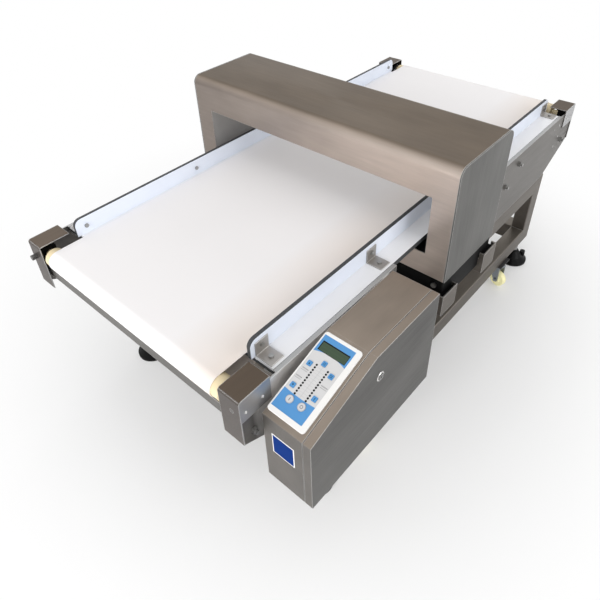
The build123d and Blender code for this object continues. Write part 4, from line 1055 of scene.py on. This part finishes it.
CAMERA_PLACE = (-986.89, -747.8, 717.23)    # for at()
CAMERA_TURN = (42.70, -37.68, -2.28)        # yaw from +x, pitch and roll, in degrees
CAMERA_SHIFT = -0.1
SENSOR_WIDTH = 36


def light_surroundings(ambient):
    """A world that is white to the camera, in metal and through glass, and dimmer as light."""
    world = bpy.data.worlds.new("surroundings")
    world.use_nodes = True
    bpy.context.scene.world = world
    tree = world.node_tree
    path = add(tree, "ShaderNodeLightPath")
    seen = maths(tree, "MAXIMUM", path.outputs["Is Camera Ray"],
                 path.outputs["Is Transmission Ray"])
    seen = maths(tree, "MAXIMUM", seen, path.outputs["Is Glossy Ray"])
    strength = spread(tree, seen, 0.0, 1.0, ambient, 1.0)
    feed(tree, tree.nodes["Background"], {"Color": (1, 1, 1, 1), "Strength": strength})


def lay_floor():
    """A wide floor that takes shadows near the part and turns white to the camera far out. Its
    colour is greyer near the middle, a painted shadow.
    """
    low, high, level = -FLOOR_HALF, FLOOR_HALF, -FLOOR_DROP
    corners = [[[low, low, level], [high, low, level]], [[low, high, level], [high, high, level]]]
    mesh = grid_mesh("floor", np.array(corners), False, False)
    mesh.flip_normals()
    floor = new_object("floor", mesh)
    material, tree = new_material("pale_floor")
    away = vector_node(tree, "DISTANCE", {0: object_place(tree), 1: (CENTRE_X, CENTRE_Y, 0)})
    away = away.outputs["Value"]
    # Painted shadow: the floor's colour greys towards the middle of the part
    finished(material, {
        "Base Color": spread(tree, away, *FLOOR_TONE),
        "Roughness": 0.9,
        "Specular IOR Level": 0.0,
    })
    glow = add(tree, "ShaderNodeEmission", {"Color": (1, 1, 1, 1), "Strength": 1.0})
    seen = add(tree, "ShaderNodeLightPath").outputs["Is Camera Ray"]
    share = product(tree, seen, spread(tree, away, *FLOOR_GLOW))
    shader = tree.nodes["Principled BSDF"].outputs[0]
    mix = add(tree, "ShaderNodeMixShader", {0: share, 1: shader, 2: glow.outputs[0]})
    feed(tree, tree.nodes["Material Output"], {"Surface": mix.outputs[0]})
    mesh.materials.append(material)


def hang_lamps(share):
    """Soft square lamps that look at the middle of the part."""
    for name, where, size, power, reflected in LAMPS:
        lamp = bpy.data.lights.new(name, "AREA")
        lamp.energy = power * share
        lamp.size = size
        obj = new_object(name, lamp)
        obj.location = where
        obj.visible_glossy = reflected
        aim = Vector(LAMP_AIM) - Vector(where)
        obj.rotation_euler = aim.to_track_quat("-Z", "Y").to_euler()


def place_camera(lens):
    """The photograph's camera: forward (cos y cos p, sin y cos p, sin p), rolled about it."""
    camera = bpy.data.cameras.new("camera")
    camera.lens = lens
    camera.sensor_width = SENSOR_WIDTH
    camera.shift_y = CAMERA_SHIFT
    obj = new_object("camera", camera)
    yaw, pitch, roll = (math.radians(angle) for angle in CAMERA_TURN)
    forward = Vector((math.cos(yaw) * math.cos(pitch), math.sin(yaw) * math.cos(pitch),
                      math.sin(pitch)))
    right = Vector((math.sin(yaw), -math.cos(yaw), 0))
    up = right.cross(forward)
    rolled_right = right * math.cos(roll) + up * math.sin(roll)
    rolled_up = up * math.cos(roll) - right * math.sin(roll)
    turn = Matrix((rolled_right, rolled_up, -forward)).transposed().to_4x4()
    obj.matrix_world = Matrix.Translation(Vector(at(*CAMERA_PLACE))) @ turn
    bpy.context.scene.camera = obj


class MakeStage(bpy.types.Operator):
    """Pale floor, soft lamps, white surroundings and the camera"""
    bl_idname = "detector.stage"
    bl_label = "Stage"

    def execute(self, context):
        settings = context.scene.detector_stage
        context.scene.view_settings.view_transform = "Standard"
        light_surroundings(settings.ambient)
        lay_floor()
        hang_lamps(settings.lamps)
        place_camera(settings.lens)
        return {"FINISHED"}


class DetectorPanel(bpy.types.Panel):
    """The pieces of the conveyor metal detector"""
    bl_idname = "VIEW3D_PT_detector"
    bl_label = "Metal detector"
    bl_space_type = "VIEW_3D"
    bl_region_type = "UI"
    bl_category = "Metal detector"

    def draw(self, context):
        for operator in OPERATORS:
            self.layout.operator(operator.bl_idname)
        for name in SETTINGS:
            group = getattr(context.scene, name)
            for key in group.bl_rna.properties.keys():
                if key not in ("rna_type", "name"):
                    self.layout.prop(group, key)


OPERATORS = (MakeBelt, MakeSmallScrews, MakeBlankPlate, MakeFinishes, MakeStage)
SETTINGS = {"detector_belt": BeltSettings, "detector_steel": SteelSettings,
            "detector_plastic": PlasticSettings, "detector_keypad": KeypadSettings,
            "detector_stage": StageSettings}


def register():
    for cls in (*SETTINGS.values(), *OPERATORS, DetectorPanel):
        bpy.utils.register_class(cls)
    for name, group in SETTINGS.items():
        setattr(bpy.types.Scene, name, bpy.props.PointerProperty(type=group))


def unregister():
    for name in SETTINGS:
        delattr(bpy.types.Scene, name)
    for cls in reversed((*SETTINGS.values(), *OPERATORS, DetectorPanel)):
        bpy.utils.unregister_class(cls)


def main():
    register()
    for operator in OPERATORS:
        group, name = operator.bl_idname.split(".")
        getattr(getattr(bpy.ops, group), name)()


if __name__ == "__main__":
    main()
